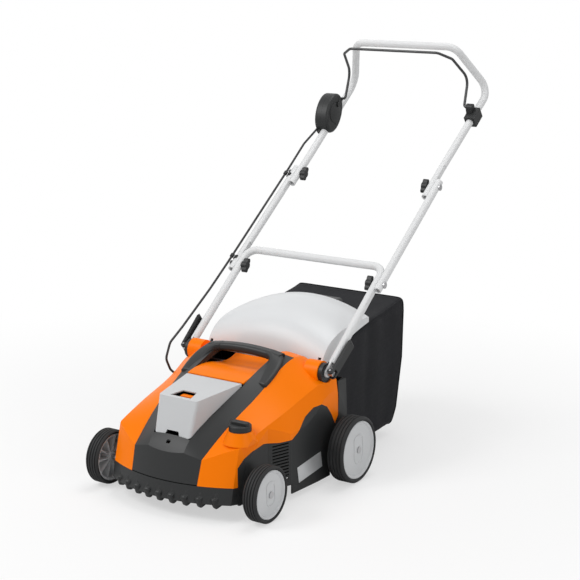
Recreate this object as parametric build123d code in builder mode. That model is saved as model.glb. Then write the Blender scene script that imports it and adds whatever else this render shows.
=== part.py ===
from build123d import *
from math import atan2, cos, degrees, hypot, pi, radians, sin
import os

os.makedirs("parts", exist_ok=True)

# A walk-behind lawn dethatcher. +Y is rearward, +Z is up and +X is to the right seen from the front,
# which is how the parts named right and left are told apart. The origin lies on the ground, midway
# between the rear wheels. Millimetres.

# ---------------------------------------------------------------- driving dimensions
# wheels
rear_wheel_r = 90.0
rear_wheel_w = 49.0
rear_wheel_x = 307.0            # outer face of the rear wheels
rear_rim_r = 78.4
front_wheel_r = 73.0
front_wheel_w = 41.0
front_wheel_x = 273.0
front_rim_r = 62.7
front_axle_y = -365.0
axle_r = 6.0
crank_pivot_y = -296.0          # cross bar of the cranked front axle
crank_pivot_z = 56.0
crank_arm_x = 218.5

# running fits and gaps
fit = 0.05                      # radial clearance of a pin in its bore
gap = 0.4                       # clearance between neighbouring mouldings
tube_gap = 0.3

# body envelope
plan_low = 40.0
plan_high = 340.0
front_lean = 0.267              # rearward lean of the nose for each millimetre of height
nose_y = -476.0
corner_x = 190.0
corner_y = -426.0
waist_x = 205.0                 # half width beside the front wheels
panel_x = 228.0                 # half width of the side panels
tail_x = 240.0
body_rear_y = 45.0
body_bottom = 42.0
skirt_z = 88.0                  # lower edge of the coloured fairings
skin = 3.5
chassis_wall = 4.0
floor_z = 70.0

# working chamber and roller
chamber_x = 175.0
chamber_wall = 6.0
roller_y = -150.0
roller_z = 78.0
blade_tip_r = 58.0
shaft_r = 8.0
blade_count = 15
blade_t = 2.0
spacer_r = 13.0
bearing_r = 16.0
motor_y = -356.0
motor_r = 38.0
motor_z = floor_z + motor_r + 0.3
motor_pulley_r = 15.0
roller_pulley_r = 30.0
belt_w = 12.0
belt_t = 3.0
belt_x = -190.5                 # middle of the belt

# battery bay
flap_rear_y = -232.0
flap_rear_z = 296.0
flap_rear_x = 88.7
flap_front_y = -386.0
flap_front_z = 283.0
flap_foot_y = -413.0
flap_foot_z = 191.0
flap_foot_x = 56.0
flap_wall = 3.0
flap_hinge_y = -237.0
flap_hinge_z = 286.0
battery_w = 84.0
battery_l = 118.0
battery_h = 62.0
battery_y = -318.0
battery_z = 198.0

# rear hood and bag
hood_x = 189.0
hood_hinge_y = 6.0
hood_hinge_z = 310.0
hood_wall = 3.0
bag_x = 183.0
bag_wall = 3.0
bag_wire_r = 4.0
bag_mouth_low = 66.0
bag_mouth_high = 334.0

# handle
tube_r = 11.0
tube_bore = 7.4
leg_x = 228.0                   # lower handle and upper handle
rail_x = 244.0                  # middle rails
flat_x = 236.0                  # where the flattened faces of two tubes meet
pivot_y = -38.0
pivot_z = 300.0
knob_low = (208.2, 492.8)
knob_high = (517.6, 719.6)
leg_over = 61.0                 # from the lower knob to the cross bar
rail_over = 22.0                # past each knob
upper_angle = 36.0
upper_straight = 421.4
upper_bend_x = 235.0
grip_x = 169.5
grip_rise = 168.7
grip_angle = 128.3
bolt_r = 4.0
wing_r = 21.0

# controls
bail_r = 4.0
bail_pivot = (752.0, 925.0)
box_mid = (702.0, 884.0)
box_x = 236.0
box_t = 48.0
cable_r = 3.3
cable_x = 259.0


# ---------------------------------------------------------------- helpers
def side(points, low_x, high_x):
    """A prism between two X planes whose outline is given as (y, z) points."""
    with BuildPart() as prism:
        with BuildSketch(Plane.YZ.offset(low_x)):
            with BuildLine():
                Polyline(*points, close=True)
            make_face()
        extrude(amount=high_x - low_x)
    return prism.part


def block(x0, x1, y0, y1, z0, z1):
    """A plain box between its two corners."""
    return side([(y0, z0), (y1, z0), (y1, z1), (y0, z1)], x0, x1)


def rod(y, z, r, x0, x1):
    """A round bar along X."""
    with BuildPart() as bar:
        with BuildSketch(Plane.YZ.offset(x0)):
            with Locations((y, z)):
                Circle(r)
        extrude(amount=x1 - x0)
    return bar.part


def ring(y, z, r_out, r_in, x0, x1):
    """A round bar along X with a bore."""
    with BuildPart() as tube:
        with BuildSketch(Plane.YZ.offset(x0)):
            with Locations((y, z)):
                Circle(r_out)
                Circle(r_in, mode=Mode.SUBTRACT)
        extrude(amount=x1 - x0)
    return tube.part


def along(start, angle, distance):
    """A (y, z) point at a distance from another, at an angle above the rearward horizontal."""
    return (
        start[0] + distance * cos(radians(angle)),
        start[1] + distance * sin(radians(angle)),
    )


def bent_tube(points, radii, r_out, r_in=0.0):
    """A tube swept along straight runs joined by tangent arcs."""
    with BuildPart() as tube:
        with BuildLine() as path:
            FilletPolyline(*points, radius=radii)
        with BuildSketch(Plane(origin=path.line @ 0, z_dir=path.line % 0)):
            Circle(r_out)
            if r_in:
                Circle(r_in, mode=Mode.SUBTRACT)
        sweep()
    return tube.part


def mirrored(points):
    """A path and its mirror image, joined across the middle of the machine."""
    return points + [(-x, y, z) for x, y, z in reversed(points)]


# ---------------------------------------------------------------- body envelope
# stations along the machine: y, then the crown's height at the middle, at the inner and outer edges
# of the carrying arms, at the shoulder crease, and at the foot of the side
crown_stations = [
    (-500.0, 97.0, (57.0, 95.0), (100.0, 100.0), (186.0, 108.0), (204.0, 30.0)),
    (-446.0, 156.0, (57.0, 153.0), (104.0, 141.0), (189.0, 148.0), (206.0, 60.0)),
    (-413.0, 195.0, (57.5, 191.0), (109.0, 164.0), (191.0, 172.0), (207.0, 90.0)),
    (-344.0, 240.0, (70.5, 233.0), (119.0, 209.0), (195.0, 198.0), (210.0, 130.0)),
    (-250.0, 288.0, (87.0, 281.0), (131.0, 257.0), (203.0, 222.0), (228.0, 165.0)),
    (-165.0, 319.0, (90.0, 314.0), (137.0, 299.0), (208.0, 243.0), (234.0, 170.0)),
    (-90.0, 339.0, (90.0, 336.0), (139.0, 330.0), (218.0, 268.0), (239.0, 200.0)),
    (0.0, 329.0, (90.0, 326.0), (139.0, 321.0), (233.0, 275.0), (243.0, 170.0)),
    (60.0, 322.0, (90.0, 320.0), (139.0, 316.0), (236.0, 277.0), (246.0, 170.0)),
]


def plan_mass(inset):
    """The body's outline seen from above, drawn up with the lean of the nose."""
    with BuildPart() as plan:
        for level in (plan_low - 10.0, plan_high):
            lean = (level - plan_low) * front_lean
            squeeze = (level - plan_low) * 0.01
            right = [
                (corner_x - inset, corner_y + lean + inset),
                (corner_x + 13.0 - inset - squeeze, corner_y + 24.0 + lean + inset),
                (waist_x - inset - squeeze, -285.0 + lean * 0.1),
                (panel_x - inset - squeeze, -212.0),
                (panel_x + 8.0 - inset - squeeze, -90.0),
                (tail_x - inset - squeeze, body_rear_y + 10.0),
            ]
            left = [(-x, y) for x, y in reversed(right)]
            with BuildSketch(Plane.XY.offset(level)):
                with BuildLine():
                    ThreePointArc(left[-1], (0, nose_y + lean + inset), right[0])
                    Polyline(*right, *left)
                make_face()
        loft(ruled=True)
    return plan.part


def crown_mass(inset):
    """The body under its top surface, drawn through the stations."""
    with BuildPart() as crown:
        for y, middle, inner, outer, crease, foot in crown_stations:
            right = [
                (inner[0], inner[1] - inset),
                (outer[0] - inset * 0.5, outer[1] - inset),
                (crease[0] - inset, crease[1] - inset),
                (foot[0] - inset, foot[1]),
                (foot[0] - inset, 5.0),
            ]
            left = [(-x, z) for x, z in reversed(right)]
            with BuildSketch(Plane.XZ.offset(-y)):
                with BuildLine():
                    ThreePointArc(left[-1], (0, middle - inset), right[0])
                    Polyline(*right, *left)
                make_face()
        loft()
    return crown.part


def body_mass(inset):
    with BuildPart() as mass:
        add(plan_mass(inset))
        add(crown_mass(inset), mode=Mode.INTERSECT)
    return mass.part


envelope = body_mass(0.0)
cavity = body_mass(skin)
arm_cavity = body_mass(16.0)

# lower edge of the coloured fairings, seen from the side
fairing_edge = [
    (-402.0, skirt_z),
    (-397.0, 136.0),
    (-378.0, 157.0),
    (-345.0, 168.0),
    (-300.0, 174.0),
    (-247.0, 164.0),
    (-205.0, 163.0),
    (-180.0, 176.0),
    (-140.0, 207.0),
    (-105.0, 223.0),
    (-75.0, 225.0),
    (-50.0, 212.0),
    (-28.0, 184.0),
    (-13.0, 156.0),
]
fairing_tail = [(2.0, 176.0), (2.0, 225.0), (-2.0, 290.0), (-2.0, 420.0)]
nose_top = [(-520.0, 420.0), (-520.0, skirt_z)]
arm_outer = [(s[3][0], s[0]) for s in crown_stations]
arm_inner = [(s[2][0], s[0]) for s in crown_stations]
arm_end_y = -62.0
window_front_y = flap_foot_y - 1.0


def flap_half_width(y):
    slope = (flap_rear_x - flap_foot_x) / (flap_rear_y - flap_foot_y)
    return flap_foot_x + (y - flap_foot_y) * slope


def plan_prism(points, low, high):
    """A vertical prism whose outline is given as (x, y) points."""
    with BuildPart() as prism:
        with BuildSketch(Plane.XY.offset(low)):
            with BuildLine():
                Polyline(*points, close=True)
            make_face()
        extrude(amount=high - low)
    return prism.part


def widened(points, by):
    return [(x + by, y) for x, y in points]


front_arms = [p for p in arm_outer if p[1] < arm_end_y]
arm_corner = (139.0, arm_end_y)
carry_outline = front_arms + [arm_corner]
carry_outline = carry_outline + [(-x, y) for x, y in reversed(carry_outline)]
window_side = [
    (flap_half_width(flap_foot_y) + 1.5, window_front_y),
    (flap_half_width(flap_rear_y) + 1.5, flap_rear_y),
    (90.2, arm_end_y - 1.0),
    (90.2, arm_end_y + 40.0),
]
window_outline = window_side + [(-x, y) for x, y in reversed(window_side)]

# ---------------------------------------------------------------- carry frame
bar_y = -86.0
bar_z = 334.0
bar_crown = 10.0
bar_depth = 34.0
bar_height = 23.0
with BuildPart() as carry_frame:
    add(envelope)
    add(arm_cavity, mode=Mode.SUBTRACT)
    add(plan_prism(carry_outline, skirt_z + 2.0, 400.0), mode=Mode.INTERSECT)
    add(plan_prism(window_outline, 0.0, 400.0), mode=Mode.SUBTRACT)
    # thin the nose panel, which is a moulding and not a bar
    add(
        cavity & block(-100.0, 100.0, -480.0, window_front_y - 5.0, skirt_z + 6.0, 300.0),
        mode=Mode.SUBTRACT,
    )
    with BuildLine() as bar_path:
        ThreePointArc(
            (-114.0, bar_y, bar_z),
            (0.0, bar_y, bar_z + bar_crown),
            (114.0, bar_y, bar_z),
        )
    with BuildSketch(Plane(origin=bar_path.line @ 0, x_dir=(0, 1, 0), z_dir=bar_path.line % 0)):
        RectangleRounded(bar_depth, bar_height, 9.0)
    sweep()
    with BuildSketch(Plane.XY.offset(150.0)):
        with Locations((0.0, -428.0)):
            SlotOverall(13.0, 7.0)
    extrude(amount=60.0, mode=Mode.SUBTRACT)
carry_frame.part.label = "carry_frame"
export_step(carry_frame.part, "parts/carry_frame.step")

# ---------------------------------------------------------------- fairings
boss_r = 30.0
boss_in = 170.0
boss_out = 212.5
knob_x = 165.0
knob_y = -347.0
cone_low = 186.0
cone_top = 217.0
cone_r = 45.0
cone_top_r = 31.0
screw_r = 5.0
bracket_x = 192.0               # uprights that carry the handle pivots
bracket_half = 21.0
deck_x = 89.7
pivot_disc_r = 26.0
shell_rear_y = -9.0             # rear edge of the mouldings in front of the hood
side_region = side(nose_top + fairing_edge + fairing_tail, -260.0, 260.0)


with BuildPart() as knob_cone:
    with BuildSketch(Plane.XY.offset(cone_low)):
        with Locations((knob_x, knob_y)):
            Circle(cone_r)
    with BuildSketch(Plane.XY.offset(cone_top)):
        with Locations((knob_x, knob_y)):
            Circle(cone_top_r)
    loft()
    add(side([(-520, 0), (0, 0), (0, 400), (-520, 400)], 0.0, waist_x - 1.0), mode=Mode.INTERSECT)
with BuildPart() as knob_well:
    with BuildSketch(Plane.XY.offset(cone_low - 10.0)):
        with Locations((knob_x, knob_y)):
            Circle(cone_top_r - 6.0)
    extrude(amount=cone_top - cone_low + 6.0)
    with BuildSketch(Plane.XY.offset(cone_low)):
        with Locations((knob_x, knob_y)):
            Circle(screw_r + gap)
    extrude(amount=60.0)


cable_drop = [
    (-cable_x, 199.5, 503.8),
    (-cable_x, 107.1, 438.9),
    (-258.0, -30.0, 353.0),
    (-251.0, -95.0, 324.0),
    (-247.0, -120.0, 284.0),
    (-243.0, -106.0, 250.0),
    (-222.0, -98.0, 233.0),
]


def cable_run(extra):
    """The lower cable from the handle into the left side, grown by a clearance."""
    return bent_tube(cable_drop, [30.0, 30.0, 30.0, 20.0, 14.0], cable_r + extra)


def fairing(sign):
    """One coloured side fairing with its handle boss; the right-hand one carries the knob."""
    outer_edge = [(sign * (x + gap), y) for x, y in arm_outer if y < arm_end_y]
    outer_edge.append((sign * (139.0 + gap), arm_end_y + 1.0))
    outer_edge.append((sign * (deck_x + gap), arm_end_y + 1.0))
    outer_edge.append((sign * (deck_x + gap), shell_rear_y))
    outer_edge.append((sign * (hood_x + 5.0), shell_rear_y))
    outer_edge.append((sign * (hood_x + 5.0), body_rear_y))
    outline = outer_edge + [(sign * 270.0, body_rear_y), (sign * 270.0, -520.0)]
    inner_x, outer_x = sorted((sign * boss_in, sign * boss_out))
    hollow_a, hollow_b = sorted((sign * (boss_in + 4.0), sign * (boss_out - 3.5)))
    with BuildPart() as shell:
        add(envelope)
        add(cavity, mode=Mode.SUBTRACT)
        add(side_region, mode=Mode.INTERSECT)
        add(plan_prism(outline, 0.0, 420.0), mode=Mode.INTERSECT)
        if sign > 0:
            add(knob_cone.part)
            add(knob_well.part, mode=Mode.SUBTRACT)
        add(rod(pivot_y, pivot_z, boss_r, inner_x, outer_x))
        add(rod(pivot_y, pivot_z, boss_r - 3.5, hollow_a, hollow_b), mode=Mode.SUBTRACT)
        add(
            block(
                hollow_a,
                hollow_b,
                pivot_y - bracket_half - gap,
                pivot_y + bracket_half + gap,
                220.0,
                pivot_z,
            ),
            mode=Mode.SUBTRACT,
        )
        add(rod(pivot_y, pivot_z, bolt_r + gap, inner_x - 5.0, outer_x + 5.0), mode=Mode.SUBTRACT)
        # room for the chassis walls inside the boss and for the pivot disc outside it
        add(block(-182.0, 182.0, -46.5, body_rear_y, 200.0, 291.0), mode=Mode.SUBTRACT)
        disc_a, disc_b = sorted((sign * boss_out, sign * (boss_out + 30.0)))
        add(rod(pivot_y, pivot_z, pivot_disc_r + gap, disc_a, disc_b), mode=Mode.SUBTRACT)
        if sign < 0:
            add(cable_run(0.4), mode=Mode.SUBTRACT)
    return shell.part


fairing_right = fairing(1)
fairing_right.label = "fairing_right"
export_step(fairing_right, "parts/fairing_right.step")
fairing_left = fairing(-1)
fairing_left.label = "fairing_left"
export_step(fairing_left, "parts/fairing_left.step")

# ---------------------------------------------------------------- rear deck
deck_t = 3.5
deck_top = [
    (flap_rear_y + 6.0, 297.0),
    (-190.0, 304.0),
    (-150.0, 305.0),
    (-115.0, 300.0),
    (-75.0, 292.0),
    (shell_rear_y, 300.0),
]
deck_under = [(y, z - deck_t) for y, z in reversed(deck_top)]
with BuildPart() as rear_deck:
    with BuildSketch(Plane.YZ.offset(-deck_x)):
        with BuildLine():
            Spline(*deck_top)
            Line(deck_top[-1], deck_under[0])
            Spline(*deck_under)
            Line(deck_under[-1], deck_top[0])
        make_face()
    extrude(amount=2 * deck_x)
rear_deck.part.label = "rear_deck"
export_step(rear_deck.part, "parts/rear_deck.step")

# ---------------------------------------------------------------- chassis
block_x = chamber_x + chamber_wall
chamber = [
    (-222.0, -5.0),
    (-222.0, 92.0),
    (-205.0, 125.0),
    (-178.0, 145.0),
    (-145.0, 152.0),
    (-112.0, 148.0),
    (-92.0, 158.0),
    (-38.0, 262.0),
    (-34.0, 400.0),
    (90.0, 400.0),
    (90.0, 64.0),
    (-64.0, 50.0),
    (-72.0, -5.0),
]
housing = [
    (-228.0, body_bottom),
    (-228.0, 95.0),
    (-210.0, 130.0),
    (-181.0, 151.0),
    (-146.0, 158.0),
    (-116.0, 154.0),
    (-98.0, 162.0),
    (-45.0, 264.0),
    (-45.0, 282.0),
    (hood_hinge_y - 8.0, 291.0),
    (hood_hinge_y - 8.0, 319.0),
    (hood_hinge_y + 8.0, 319.0),
    (hood_hinge_y + 14.0, 286.0),
    (body_rear_y, 284.0),
    (body_rear_y, body_bottom),
]
lower_region = [(y, z - gap) for y, z in fairing_edge]
lower_region = [(-520.0, skirt_z - gap)] + lower_region
lower_region = lower_region + [
    (3.0, 170.0),
    (5.0, 226.0),
    (5.0, 268.0),
    (body_rear_y, 268.0),
    (body_rear_y, body_bottom),
    (-520.0, body_bottom),
]
guard_back_y = -405.0
guard_t = 9.0
hinge_pin_r = 4.0
skirt_low = 16.0
low_skirt = [
    (panel_x - 0.4, -206.0),
    (panel_x + 7.0, -92.0),
    (panel_x + 7.6, -34.0),
    (panel_x + 4.0, -34.0),
    (panel_x + 3.4, -92.0),
    (panel_x - 4.0, -206.0),
]
guard_inside = body_mass(guard_t)
with BuildPart() as guard_band:
    add(envelope)
    add(guard_inside, mode=Mode.SUBTRACT)
    add(block(-260.0, 260.0, -520.0, guard_back_y, 46.0, skirt_z - gap), mode=Mode.INTERSECT)
with BuildPart() as guard_room:
    add(envelope)
    add(body_mass(guard_t + gap), mode=Mode.SUBTRACT)
    add(block(-260.0, 260.0, -520.0, guard_back_y + gap, 30.0, skirt_z + 1.0), mode=Mode.INTERSECT)
with BuildPart() as chassis:
    add(envelope)
    add(side(lower_region, -260.0, 260.0), mode=Mode.INTERSECT)
    # the walled bay above the floor and the open underside below it
    add(
        cavity & block(-250.0, 250.0, -520.0, body_rear_y - chassis_wall, floor_z, 400.0),
        mode=Mode.SUBTRACT,
    )
    add(
        cavity & block(-250.0, 250.0, -520.0, body_rear_y - chassis_wall, 0.0, floor_z - 4.0),
        mode=Mode.SUBTRACT,
    )
    add(side(housing, -block_x, block_x))
    # the chamber and the chute up to the grass bag
    add(side(chamber, -chamber_x, chamber_x), mode=Mode.SUBTRACT)
    add(guard_room.part, mode=Mode.SUBTRACT)
    # uprights that carry the handle pivots
    for inner_x, outer_x in ((block_x - 1.0, bracket_x), (-bracket_x, 1.0 - block_x)):
        add(
            side(
                [
                    (pivot_y - bracket_half, 180.0),
                    (pivot_y + bracket_half, 180.0),
                    (pivot_y + bracket_half, pivot_z),
                    (pivot_y + 10.0, pivot_z + 19.0),
                    (pivot_y - 10.0, pivot_z + 19.0),
                    (pivot_y - bracket_half, pivot_z),
                ],
                inner_x,
                outer_x,
            )
        )
    # wheel axles, front crank and roller bearings
    add(rod(0.0, rear_wheel_r, axle_r + 6.0, -232.0, -block_x + 1.0))
    add(rod(0.0, rear_wheel_r, axle_r + 6.0, block_x - 1.0, 232.0))
    add(rod(0.0, rear_wheel_r, axle_r + fit, -300.0, 300.0), mode=Mode.SUBTRACT)
    for end in (-1, 1):
        a, b = sorted((end * (waist_x - 13.0), end * (waist_x - 0.5)))
        add(rod(crank_pivot_y, crank_pivot_z, axle_r + 5.0, a, b))
    add(rod(crank_pivot_y, crank_pivot_z, axle_r + fit, -260.0, 260.0), mode=Mode.SUBTRACT)
    add(rod(roller_y, roller_z, bearing_r + fit, -block_x - 1.0, block_x + 1.0), mode=Mode.SUBTRACT)
    # belt pocket through the floor on the drive side
    add(block(-200.5, -block_x - 0.5, -412.0, -100.0, 0.0, floor_z + 1.0), mode=Mode.SUBTRACT)
    # motor mounting wall
    add(block(-block_x, -chamber_x, motor_y - motor_r, -226.0, floor_z - 1.0, 150.0))
    add(rod(motor_y, motor_z, 14.0, -block_x - 1.0, -chamber_x + 1.0), mode=Mode.SUBTRACT)
    # handle bolts and hood hinge
    for end in (-1, 1):
        a, b = sorted((end * (bracket_x - 7.0), end * (bracket_x + 1.0)))
        add(rod(pivot_y, pivot_z, bolt_r + fit, a, b), mode=Mode.SUBTRACT)
    add(rod(hood_hinge_y, hood_hinge_z, hinge_pin_r + fit, -190.0, 190.0), mode=Mode.SUBTRACT)
    # skirts that reach down between the wheels
    for end in (-1, 1):
        add(plan_prism([(end * x, y) for x, y in low_skirt], skirt_low, body_bottom + 3.0))
    # louvres in both side panels
    for end in (-1, 1):
        for row in range(12):
            a, b = sorted((end * 200.0, end * 240.0))
            z = 62.0 + row * 8.5
            add(block(a, b, -268.0, -218.0, z, z + 3.6), mode=Mode.SUBTRACT)
chassis.part.label = "chassis"
export_step(chassis.part, "parts/chassis.step")

# ---------------------------------------------------------------- nose guard
tooth_r = 8.5
tooth_pitch = 38.0
tooth_low = 36.0
with BuildPart() as nose_guard:
    add(guard_band.part)
    for index in range(-4, 5):
        x = index * tooth_pitch
        y = nose_y + 386.0 - (386.0**2 - x**2) ** 0.5 + 13.0
        with BuildSketch(Plane.XY.offset(tooth_low)):
            with Locations((x, y)):
                Circle(tooth_r * 0.55)
        with BuildSketch(Plane.XY.offset(50.0)):
            with Locations((x, y)):
                Circle(tooth_r)
        with BuildSketch(Plane.XY.offset(skirt_z - 4.0)):
            with Locations((x, y + 8.0)):
                Circle(tooth_r * 0.7)
        loft()
    add(guard_inside, mode=Mode.SUBTRACT)
nose_guard.part.label = "nose_guard"
export_step(nose_guard.part, "parts/nose_guard.step")

# ---------------------------------------------------------------- battery bay
tray_wall = 3.0
tray_x = battery_w / 2 + 1.0
tray_y0 = battery_y - battery_l / 2 - 1.0
tray_y1 = battery_y + battery_l / 2 + 1.0
with BuildPart() as battery_tray:
    add(
        block(
            -tray_x - tray_wall,
            tray_x + tray_wall,
            tray_y0 - tray_wall,
            tray_y1 + tray_wall,
            battery_z - tray_wall - 0.3,
            battery_z + 22.0,
        )
    )
    add(
        block(-tray_x, tray_x, tray_y0, tray_y1, battery_z - 0.3, battery_z + 60.0),
        mode=Mode.SUBTRACT,
    )
    # lugs screwed up against the carrying arms
    for x0, x1 in ((-78.0, -tray_x - 1.0), (tray_x + 1.0, 78.0)):
        add(block(x0, x1, -344.0, -332.0, 204.0, 212.0))
    for x0, x1 in ((-85.0, -tray_x - 1.0), (tray_x + 1.0, 85.0)):
        add(block(x0, x1, -276.0, -264.0, 214.0, 219.5))
battery_tray.part.label = "battery_tray"
export_step(battery_tray.part, "parts/battery_tray.step")

with BuildPart() as battery:
    with BuildSketch(Plane.XY.offset(battery_z)):
        with Locations((0.0, battery_y)):
            RectangleRounded(battery_w, battery_l, 8.0)
    extrude(amount=battery_h)
    fillet(battery.faces().sort_by(Axis.Z)[-1].edges(), 5.0)
    for end in (-1, 1):
        with BuildSketch(Plane.XY.offset(battery_z + battery_h)):
            with Locations((end * 22.0, battery_y)):
                RectangleRounded(5.0, battery_l - 30.0, 2.0)
        extrude(amount=-1.5, mode=Mode.SUBTRACT)
battery.part.label = "battery"
export_step(battery.part, "parts/battery.step")

# ---------------------------------------------------------------- battery flap
flap_profile = [
    (flap_rear_y, flap_rear_z),
    (flap_front_y, flap_front_z),
    (flap_foot_y, flap_foot_z),
    (-344.0, 233.5),
    (-250.0, 281.5),
    (flap_rear_y, 289.0),
]


def flap_block(inset, low_drop):
    """The flap's wedge, drawn in from its outer faces."""
    profile = [
        (flap_rear_y - inset, flap_rear_z - inset),
        (flap_front_y + inset, flap_front_z - inset),
        (flap_foot_y + inset, flap_foot_z - low_drop),
        (-344.0, 233.5 - low_drop),
        (flap_rear_y - inset, 289.0 - low_drop * 2.0),
    ]
    outline = [
        (flap_half_width(flap_foot_y) - inset, flap_foot_y - 2.0),
        (flap_half_width(flap_rear_y) - inset, flap_rear_y + 2.0),
    ]
    outline = outline + [(-x, y) for x, y in reversed(outline)]
    with BuildPart() as wedge:
        add(side(profile, -100.0, 100.0))
        add(plan_prism(outline, 100.0, 320.0), mode=Mode.INTERSECT)
    return wedge.part


notch_half = 27.0
window_mid_y = -355.0
with BuildPart() as battery_flap:
    add(flap_block(0.0, 0.0))
    fillet(battery_flap.edges().filter_by(lambda e: e.center().Y < -390 and abs(e.center().X) > 50
                                          and e.length > 80), 9.0)
    add(flap_block(flap_wall, 12.0), mode=Mode.SUBTRACT)
    # finger notch in the front wall and window over the charge display
    with BuildSketch(Plane.XZ.offset(400.0)):
        with Locations((0.0, flap_foot_z)):
            Trapezoid(2.0 * notch_half, 24.0, 70.0)
    extrude(amount=40.0, both=True, mode=Mode.SUBTRACT)
    with BuildSketch(Plane.XY.offset(300.0)):
        with BuildLine():
            Polyline(
                (-33.0, window_mid_y - 20.0),
                (33.0, window_mid_y - 20.0),
                (22.0, window_mid_y + 20.0),
                (-22.0, window_mid_y + 20.0),
                close=True,
            )
        make_face()
    extrude(amount=-26.0, mode=Mode.SUBTRACT)
    # hinge knuckles
    for x in (-60.0, 44.0):
        add(rod(flap_hinge_y, flap_hinge_z, 6.5, x, x + 16.0))
    add(rod(flap_hinge_y, flap_hinge_z, 3.0 + fit, -100.0, 100.0), mode=Mode.SUBTRACT)
battery_flap.part.label = "battery_flap"
export_step(battery_flap.part, "parts/battery_flap.step")

with BuildPart() as flap_pin:
    add(rod(flap_hinge_y, flap_hinge_z, 3.0, -88.0, 88.0))
flap_pin.part.label = "flap_pin"
export_step(flap_pin.part, "parts/flap_pin.step")

# ---------------------------------------------------------------- depth setting
knob_z = cone_top + gap
with BuildPart() as depth_knob:
    with BuildSketch(Plane.XY.offset(knob_z)):
        with Locations((knob_x, knob_y)):
            Circle(29.0)
            Circle(screw_r + fit, mode=Mode.SUBTRACT)
    extrude(amount=15.0)
    fillet(depth_knob.faces().sort_by(Axis.Z)[-1].outer_wire().edges(), 3.0)
    with BuildSketch(Plane.XY.offset(knob_z + 14.0)):
        with Locations((knob_x, knob_y)):
            SlotOverall(55.0, 17.0)
    extrude(amount=9.5)
    fillet(depth_knob.faces().sort_by(Axis.Z)[-1].edges(), 3.0)
depth_knob.part.label = "depth_knob"
export_step(depth_knob.part, "parts/depth_knob.step")

with BuildPart() as depth_screw:
    with BuildSketch(Plane.XY.offset(floor_z + 1.0)):
        with Locations((knob_x, knob_y)):
            Circle(screw_r)
    extrude(amount=knob_z + 12.0 - floor_z - 1.0)
    with BuildSketch(Plane.XY.offset(floor_z + 14.0)):
        with Locations((knob_x, knob_y)):
            Circle(13.0)
    extrude(amount=12.0)
depth_screw.part.label = "depth_screw"
export_step(depth_screw.part, "parts/depth_screw.step")

# ---------------------------------------------------------------- axles
with BuildPart() as front_axle:
    add(
        bent_tube(
            mirrored(
                [
                    (front_wheel_x - 8.0, front_axle_y, front_wheel_r),
                    (crank_arm_x, front_axle_y, front_wheel_r),
                    (crank_arm_x, crank_pivot_y, crank_pivot_z),
                ]
            ),
            13.0,
            axle_r,
        )
    )
front_axle.part.label = "front_axle"
export_step(front_axle.part, "parts/front_axle.step")

with BuildPart() as rear_axle:
    add(rod(0.0, rear_wheel_r, axle_r, 8.0 - rear_wheel_x, rear_wheel_x - 8.0))
rear_axle.part.label = "rear_axle"
export_step(rear_axle.part, "parts/rear_axle.step")


# ---------------------------------------------------------------- wheels
def wheel(sign, y, z, radius, width, outer_x, rim_r):
    """A ribbed tyre and its dished hub, both round the axle."""
    middle = Plane(origin=(0, y, z), x_dir=(1, 0, 0), z_dir=(0, -1, 0))
    turn = Axis((0, y, z), (1, 0, 0))
    o = outer_x
    i = outer_x - width
    tread = [(o - 6.0, rim_r), (o - 1.0, rim_r + 2.0), (o, rim_r + 6.0), (o - 3.0, radius - 1.5)]
    groove = width / 5
    for index in range(4):
        x = o - groove * (index + 0.5)
        tread += [(x, radius), (x - 2.6, radius), (x - 3.6, radius - 2.4)]
        tread += [(x - 5.0, radius - 2.4), (x - 6.0, radius)]
    tread += [(i + 3.0, radius - 1.5), (i, rim_r + 6.0), (i + 1.0, rim_r + 2.0), (i + 6.0, rim_r)]
    with BuildPart() as tyre:
        with BuildSketch(middle):
            with BuildLine():
                Polyline(*[(sign * a, b) for a, b in tread], close=True)
            make_face()
        revolve(axis=turn)
    dish = [
        (i + 4.0, rim_r - 0.1),
        (o - 3.0, rim_r - 0.1),
        (o - 1.5, rim_r - 2.5),
        (o - 3.0, rim_r - 5.0),
        (o - 6.5, rim_r - 8.0),
        (o - 3.5, 18.0),
        (o - 3.5, axle_r + fit),
        (i + 8.0, axle_r + fit),
        (i + 8.0, 14.0),
        (o - 7.5, 16.0),
        (o - 10.0, rim_r - 9.0),
        (i + 4.0, rim_r - 4.0),
    ]
    with BuildPart() as hub:
        with BuildSketch(middle):
            with BuildLine():
                Polyline(*[(sign * a, b) for a, b in dish], close=True)
            make_face()
        revolve(axis=turn)
        rib_len = rim_r - 4.5 - 12.0
        face_x = sorted((sign * (i + 10.0), sign * (o - 8.0)))
        for index in range(10):
            angle = radians(36.0 * index)
            c, s = cos(angle), sin(angle)
            near, far = 12.5, 12.5 + rib_len
            half = 1.3
            corners = [
                (y + near * c - half * s, z + near * s + half * c),
                (y + far * c - half * s, z + far * s + half * c),
                (y + far * c + half * s, z + far * s - half * c),
                (y + near * c + half * s, z + near * s - half * c),
            ]
            add(side(corners, face_x[0], face_x[1]))
    return tyre.part, hub.part


wheels = {
    "rear_right": (1, 0.0, rear_wheel_r, rear_wheel_r, rear_wheel_w, rear_wheel_x, rear_rim_r),
    "rear_left": (-1, 0.0, rear_wheel_r, rear_wheel_r, rear_wheel_w, rear_wheel_x, rear_rim_r),
    "front_right": (
        1, front_axle_y, front_wheel_r, front_wheel_r, front_wheel_w, front_wheel_x, front_rim_r
    ),
    "front_left": (
        -1, front_axle_y, front_wheel_r, front_wheel_r, front_wheel_w, front_wheel_x, front_rim_r
    ),
}
for place, sizes in wheels.items():
    tyre_solid, hub_solid = wheel(*sizes)
    tyre_solid.label = "tyre_" + place
    export_step(tyre_solid, "parts/tyre_" + place + ".step")
    hub_solid.label = "hub_" + place
    export_step(hub_solid, "parts/hub_" + place + ".step")

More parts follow.
